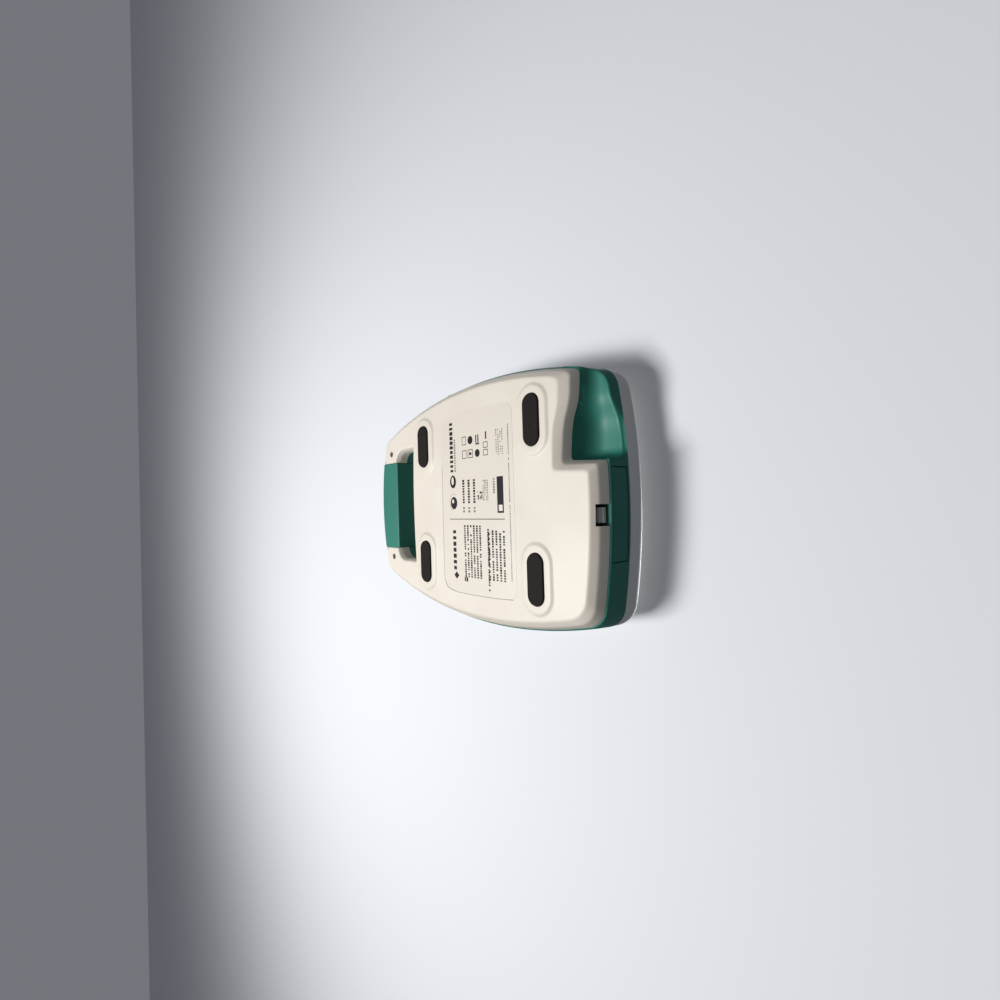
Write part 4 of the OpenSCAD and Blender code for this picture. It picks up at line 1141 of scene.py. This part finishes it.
def makeLabel():
    s = labelSizes
    ring = resampled(s["outline"] + [s["outline"][0]], 180)
    for _ in range(8):
        ring = (np.roll(ring, 1, axis=0) + ring * 2 + np.roll(ring, -1, axis=0)) / 4
    if (np.cross(ring, np.roll(ring, -1, axis=0))).sum() < 0:
        ring = ring[::-1]
    low = inset(ring, s["edge"])
    side = loft([level(ring, s["highZ"]), level(inset(ring, 0.05), s["lowZ"] + s["edgeZ"]),
                 level(low, s["lowZ"])])
    flat, triangles = filled(low)
    label = makeObject("ratingLabel", *merge([side, (level(flat, s["lowZ"]), triangles)]), sharp=3)
    dress(label, "label_film", replaces=["rating_label"])
    for number, (name, block) in enumerate(printBlocks.items()):
        columns, rows, pitch, mark, centre, missing, tone = block
        paint = ink if tone == "dark" else greyInk
        marks = nodesModifier(emptyObject("print_" + name), printTree, {
            "Columns": columns, "Rows": rows, "Pitch": (pitch[0] * mm, pitch[1] * mm, 0),
            "Mark": (mark[0] * mm, mark[1] * mm, s["thick"] * mm), "Missing": missing, "Seed": number + 3,
            "Ink": paint, "Start": (centre[0] * mm, centre[1] * mm, (s["printZ"] + s["thick"] / 2) * mm)})
        dress(marks, "label_film", material=paint)
    dark = [thinPrism(roundedRect(*s["darkBar"]))] + [thinPrism(ellipse(*oval)) for oval in s["darkOvals"]]
    for kind, centre, half in symbols:
        dark += symbol(kind, centre, half)
    for i in range(s["squares"]):
        for j in range(s["squares"]):
            if (i * 3 + j * 5 + i * j) % 7 < 4:
                x, y = s["squareAt"][0] + i * s["squareStep"], s["squareAt"][1] + j * s["squareStep"]
                dark.append(thinPrism(roundedRect(x, x + s["square"], y, y + s["square"], 0.1, 1)))
    dress(joined("labelMarks", dark), "label_film", material=ink)
    pale = [thinPrism(roundedRect(*s["paleBar"]), s["paleLift"])]
    pale += [thinPrism(ellipse(*oval), s["paleLift"]) for oval in s["paleOvals"]]
    dress(joined("labelPatch", pale), "label_film", material=paleInk)
    rule = resampled(s["rule"], 90)
    for _ in range(4):
        rule[1:-1] = (rule[:-2] + 2 * rule[1:-1] + rule[2:]) / 4
    lines = [ribbon(rule, s["ruleWidth"]), ribbon(s["divider"], s["dividerWidth"]),
             ribbon(ellipse(*s["curve"])[2:24], s["curveWidth"])]
    dress(joined("labelLines", lines), "label_film", material=greyInk)


makeLabel()
print("label made")


capSizes = {
    "x": (-20.5, 45.5), "z": (18.0, 34.0), "growLow": 4.3, "growHigh": 5.9,
    "depthY": -134.0, "innerX": (-19.5, 44.5), "stepY": -117.0, "railH": 2.0, "wall": 2, "roof": 1.5,
}


def makeBatteryCap():
    # the pack's green face lies flush in the band
    s = capSizes
    x0, x1 = s["x"]
    rows = []
    for z, grow in ((s["z"][0], s["growLow"]), (s["z"][1], s["growHigh"])):
        centre, radius = caseArcs(grow)["front"]
        edge = [(x, centre[1] - math.sqrt(radius ** 2 - x * x)) for x in np.linspace(x0, x1, 24)]
        rows.append(level(np.array(edge + [(x1, s["depthY"]), (x0, s["depthY"])]), z))
    face = softened(makeObject("capFace", *closedLoft(rows)), 0.5)
    block = prism("capBlock", roundedRect(*s["innerX"], s["depthY"], s["stepY"], 0.5), *s["z"])
    x0, x1 = s["innerX"]
    room = roundedRect(x0 + s["wall"], x1 - s["wall"], s["depthY"] + s["wall"], s["stepY"] + 1, 0.5)
    cut(block, [prism("room", room, s["z"][0] + s["railH"], s["z"][1] - s["roof"])])
    cap = joined("batteryCap", [face, block])
    tidyNormals(cap)
    dress(cap, "green_case", body="battery", replaces=["battery_cap"])


makeBatteryCap()


latchSizes = {
    "x": 12.5, "half": 5.4, "pinY": -122.0, "pinZ": 11.5,
    "tipY": -138.5, "padY": -136.1, "padZ": (11.95, 15.25), "armY": -136.1, "armZ": (10.95, 12.85),
    "tailHalf": 2.7, "tailZ": (10.4, 12.6), "hookY": (-114.9, -112.6), "hookZ": 18.9,
    "hubR": 2.35, "hubEndR": 2.1, "hubEdge": 0.3, "holeR": 1.06,
}


def makeLatch():
    s = latchSizes
    x0, x1 = s["x"] - s["half"], s["x"] + s["half"]
    t0, t1 = s["x"] - s["tailHalf"], s["x"] + s["tailHalf"]
    h0, h1 = s["hookY"]
    arm = prism("arm", roundedRect(x0, x1, s["armY"], s["pinY"] + 1, 0.5), *s["armZ"])
    pad = prism("pad", roundedRect(x0, x1, s["tipY"], s["padY"] + 0.4, 0.6), *s["padZ"])
    tail = prism("tail", roundedRect(t0, t1, s["pinY"] + 0.5, h1, 0.5), *s["tailZ"])
    hook = prism("hook", roundedRect(t0, t1, h0, h1, 0.4), s["tailZ"][0], s["hookZ"])
    for part in (arm, pad, tail, hook):
        softened(part, 0.3, 2)
    edge, endR, hubR, holeR = s["hubEdge"], s["hubEndR"], s["hubR"], s["holeR"]
    hub = turnedX("hub", [(x0, endR), (x0 + edge, hubR), (x1 - edge, hubR), (x1, endR)], s["pinY"],
                  s["pinZ"], 32)
    for part in (arm, tail, hub):
        cut(part, [turnedX("hole", [(x0 - 1, holeR), (x1 + 1, holeR)], s["pinY"], s["pinZ"], 32)])
    latch = joined("batteryLatch", [arm, pad, tail, hook, hub])
    tidyNormals(latch)
    dress(latch, "grey_plastic", body="latch", replaces=["battery_latch"])


makeLatch()
print("battery and latch made")


screwSizes = {
    "x": 54.6, "y": 123.0, "faceZ": 4.25, "headR": 2.75, "depth": 1.7, "shankR": 1.2, "length": 26.0,
    "slotLong": 1.6, "slotHalf": 0.32, "slotDepth": 0.9,
}


def makeHandleScrews():
    s = screwSizes
    parts = []
    for side in (-1, 1):
        x = side * s["x"]
        rows = [level(disc(x, s["y"], r, 36), z) for r, z in (
            (s["headR"] - 0.7, s["faceZ"]), (s["headR"] - 0.15, s["faceZ"] + 0.25),
            (s["headR"], s["faceZ"] + 0.6), (s["headR"], s["faceZ"] + s["depth"]),
            (s["shankR"], s["faceZ"] + s["depth"]), (s["shankR"], s["faceZ"] + s["length"]))]
        head = makeObject("head", *closedLoft(rows))
        for dx, dy in ((s["slotLong"], s["slotHalf"]), (s["slotHalf"], s["slotLong"])):
            ring = roundedRect(x - dx, x + dx, s["y"] - dy, s["y"] + dy, 0.1, 2)
            cut(head, [prism("slot", ring, s["faceZ"] - 1, s["faceZ"] + s["slotDepth"])])
        parts.append(head)
    screws = joined("handleScrews", parts)
    tidyNormals(screws)
    dress(screws, "steel", replaces=["handle_screws"])


makeHandleScrews()


screenSizes = {
    "window": (-59.8, 59.8, -67.8, 21.8), "lowZ": 66.5, "highZ": 67.85, "corner": 2.9,
    "view": (-51, 51, -59, 13), "viewCorner": 1.5, "borderEdge": 0.3, "borderZ": 66.42, "borderTopZ": 66.48,
}


def makeScreen():
    s = screenSizes
    window = prism("displayWindow", roundedRect(*s["window"], s["corner"]), s["lowZ"], s["highZ"])
    softened(window, 0.4)
    dress(window, "screen_glass", replaces=["display_window"])
    x0, x1, y0, y1 = s["window"]
    edge, lowZ, topZ = s["borderEdge"], s["borderZ"], s["borderTopZ"]
    ring = roundedRect(x0 + edge, x1 - edge, y0 + edge, y1 - edge, s["corner"])
    hole = roundedRect(*s["view"], s["viewCorner"])
    flat, triangles = filled(ring, [hole])
    sides = [loft([level(loop, lowZ), level(loop, topZ)]) for loop in (ring, hole)]
    border = makeObject("screenBorder",
                        *merge([(level(flat, topZ), triangles), (level(flat, lowZ), triangles),
                                                *sides]))
    dress(border, "screen_glass", material=screenBorder)


makeScreen()


keySizes = {
    "lowZ": 62.95, "flangeZ": 64.1, "topZ": 69.0, "flange": 1.4,
    "soft": (-42, -14, 14, 42), "softY": -78, "softHalf": (9.0, 4.5), "softCorner": 1.5, "leastCorner": 0.5,
    "roundY": -98,
    # name, x, radius, finish
    "round": [("power", -42, 7, "grey_plastic"), ("scan", 0, 9, "green_key"),
              ("print", 42, 7, "grey_plastic")],
    # rounded shoulder and shallow dish: growth, depth below the top
    "dish": [(0, 0.8), (-0.25, 0.25), (-0.8, 0), (-1.6, 0.12), (-2.6, 0.3)],
}


def capped(name, rings, zs):
    rows = [level(ring, z) for ring, z in zip(rings, zs)]
    return makeObject(name, *closedLoft(rows), sharp=50)


def makeKeys():
    s = keySizes
    hx, hy = s["softHalf"]
    outs = [(s["flange"], s["lowZ"]), (s["flange"], s["flangeZ"]), (0, s["flangeZ"])]
    outs += [(out, s["topZ"] - depth) for out, depth in s["dish"]]

    def stack(shape):
        # flange, stem and dish with the given outline
        return [shape(out) for out, z in outs], [z for out, z in outs]

    for number, x in enumerate(s["soft"], 1):
        rings, zs = stack(lambda out: roundedRect(
            x - hx - out, x + hx + out, s["softY"] - hy - out, s["softY"] + hy + out,
            max(s["leastCorner"], s["softCorner"] + out * 0.5)))
        key = capped("softKey%d" % number, rings, zs)
        dress(key, "grey_plastic", body="soft_key_%d_body" % number, replaces=["soft_key_%d" % number])
    for name, x, r, slot in s["round"]:
        rings, zs = stack(lambda out: disc(x, s["roundY"], r + out, 48))
        key = capped(name + "Key", rings, zs)
        dress(key, slot, body=name + "_key_body", replaces=[name + "_key"])


makeKeys()


doorSizes = {"ribs": 6, "first": (0, 47.0, 68.1), "step": (0, 2.2, 0), "rib": (30.0, 0.9, 0.6)}


def makeDoorRibs():
    first, step, rib = (tuple(c * mm for c in doorSizes[key]) for key in ("first", "step", "rib"))
    ribs = nodesModifier(emptyObject("doorRibs"), ribTree, {
        "Count": doorSizes["ribs"], "First": first, "Step": step, "Rib": rib,
        "Finish": finishes["white_case"]})
    dress(ribs, "white_case", body="door")


makeDoorRibs()
print("screen, keys and door made")


slotOf = {item["node"]: item["material_slot"] for item in frame["record"]["subparts"]}
for node, obj in frame["nodes"].items():
    for place in obj.material_slots:
        place.material = finishes[slotOf[node]]
print("finishes set")


def oneSided(name, colour):
    # seen only from its front, so the camera can look through it from behind
    material = bpy.data.materials.new(name)
    material.use_nodes = True
    tree = material.node_tree
    tree.nodes.clear()
    side = addNode(tree, "ShaderNodeNewGeometry").outputs["Backfacing"]
    paint = addNode(tree, "ShaderNodeBsdfDiffuse", {"Color": (*colour, 1)})
    clear = addNode(tree, "ShaderNodeBsdfTransparent")
    mixed = addNode(tree, "ShaderNodeMixShader", {0: side, 1: paint.outputs[0], 2: clear.outputs[0]})
    out = addNode(tree, "ShaderNodeOutputMaterial")
    tree.links.new(mixed.outputs[0], out.inputs["Surface"])
    return material


# metres: half the side of the floors, and the gap above the object's highest face
stageSizes = {"half": 3.0, "gap": 0.0006}
floorColour = (0.62, 0.63, 0.65)
skyColour = (0.86, 0.90, 1.0)
skyStrength = 0.2


def makeStage():
    size = stageSizes["half"]
    for name, z, up in (("standingFloor", 0.0, 1), ("lyingFloor", cadBox[1][2] + stageSizes["gap"], -1)):
        corners = [(-size, -size, z), (size, -size, z), (size, size, z), (-size, size, z)]
        mesh = bpy.data.meshes.new(name)
        mesh.from_pydata(corners, [], [(0, 1, 2, 3) if up > 0 else (3, 2, 1, 0)])
        floor = linked(name, mesh)
        mesh.materials.append(oneSided(name, floorColour))
        floor.visible_shadow = False
        floor.visible_diffuse = False
        floor.visible_glossy = False
        floor.visible_transmission = False


lights = {
    # name: place and aim in metres, power in watts, size in metres
    "keyBelow": ((0.28, 0.44, -1.18), (0, 0, 0.03), 22.0, 0.42),
    "fillBelow": ((-0.1, -0.3, -1.3), (0, 0, 0.03), 1.6, 1.2),
    "keyAbove": ((0.25, 0.30, 1.4), (0, 0, 0.03), 20.0, 0.6),
    "fillAbove": ((-0.9, 0.9, 1.0), (0, 0, 0.03), 5.0, 1.2),
}


def makeLights():
    for name, (place, aim, power, size) in lights.items():
        data = bpy.data.lights.new(name, "AREA")
        data.energy = power
        data.size = size
        lamp = linked(name, data)
        lamp.location = place
        lamp.rotation_euler = (Vector(aim) - Vector(place)).to_track_quat("-Z", "Y").to_euler()
    world = bpy.data.worlds.new("studio")
    world.use_nodes = True
    background = world.node_tree.nodes["Background"]
    background.inputs["Color"].default_value = (*skyColour, 1)
    background.inputs["Strength"].default_value = skyStrength
    bpy.context.scene.world = world
    bpy.context.scene.view_settings.view_transform = "Standard"


makeStage()
makeLights()
print("stage and lights made")
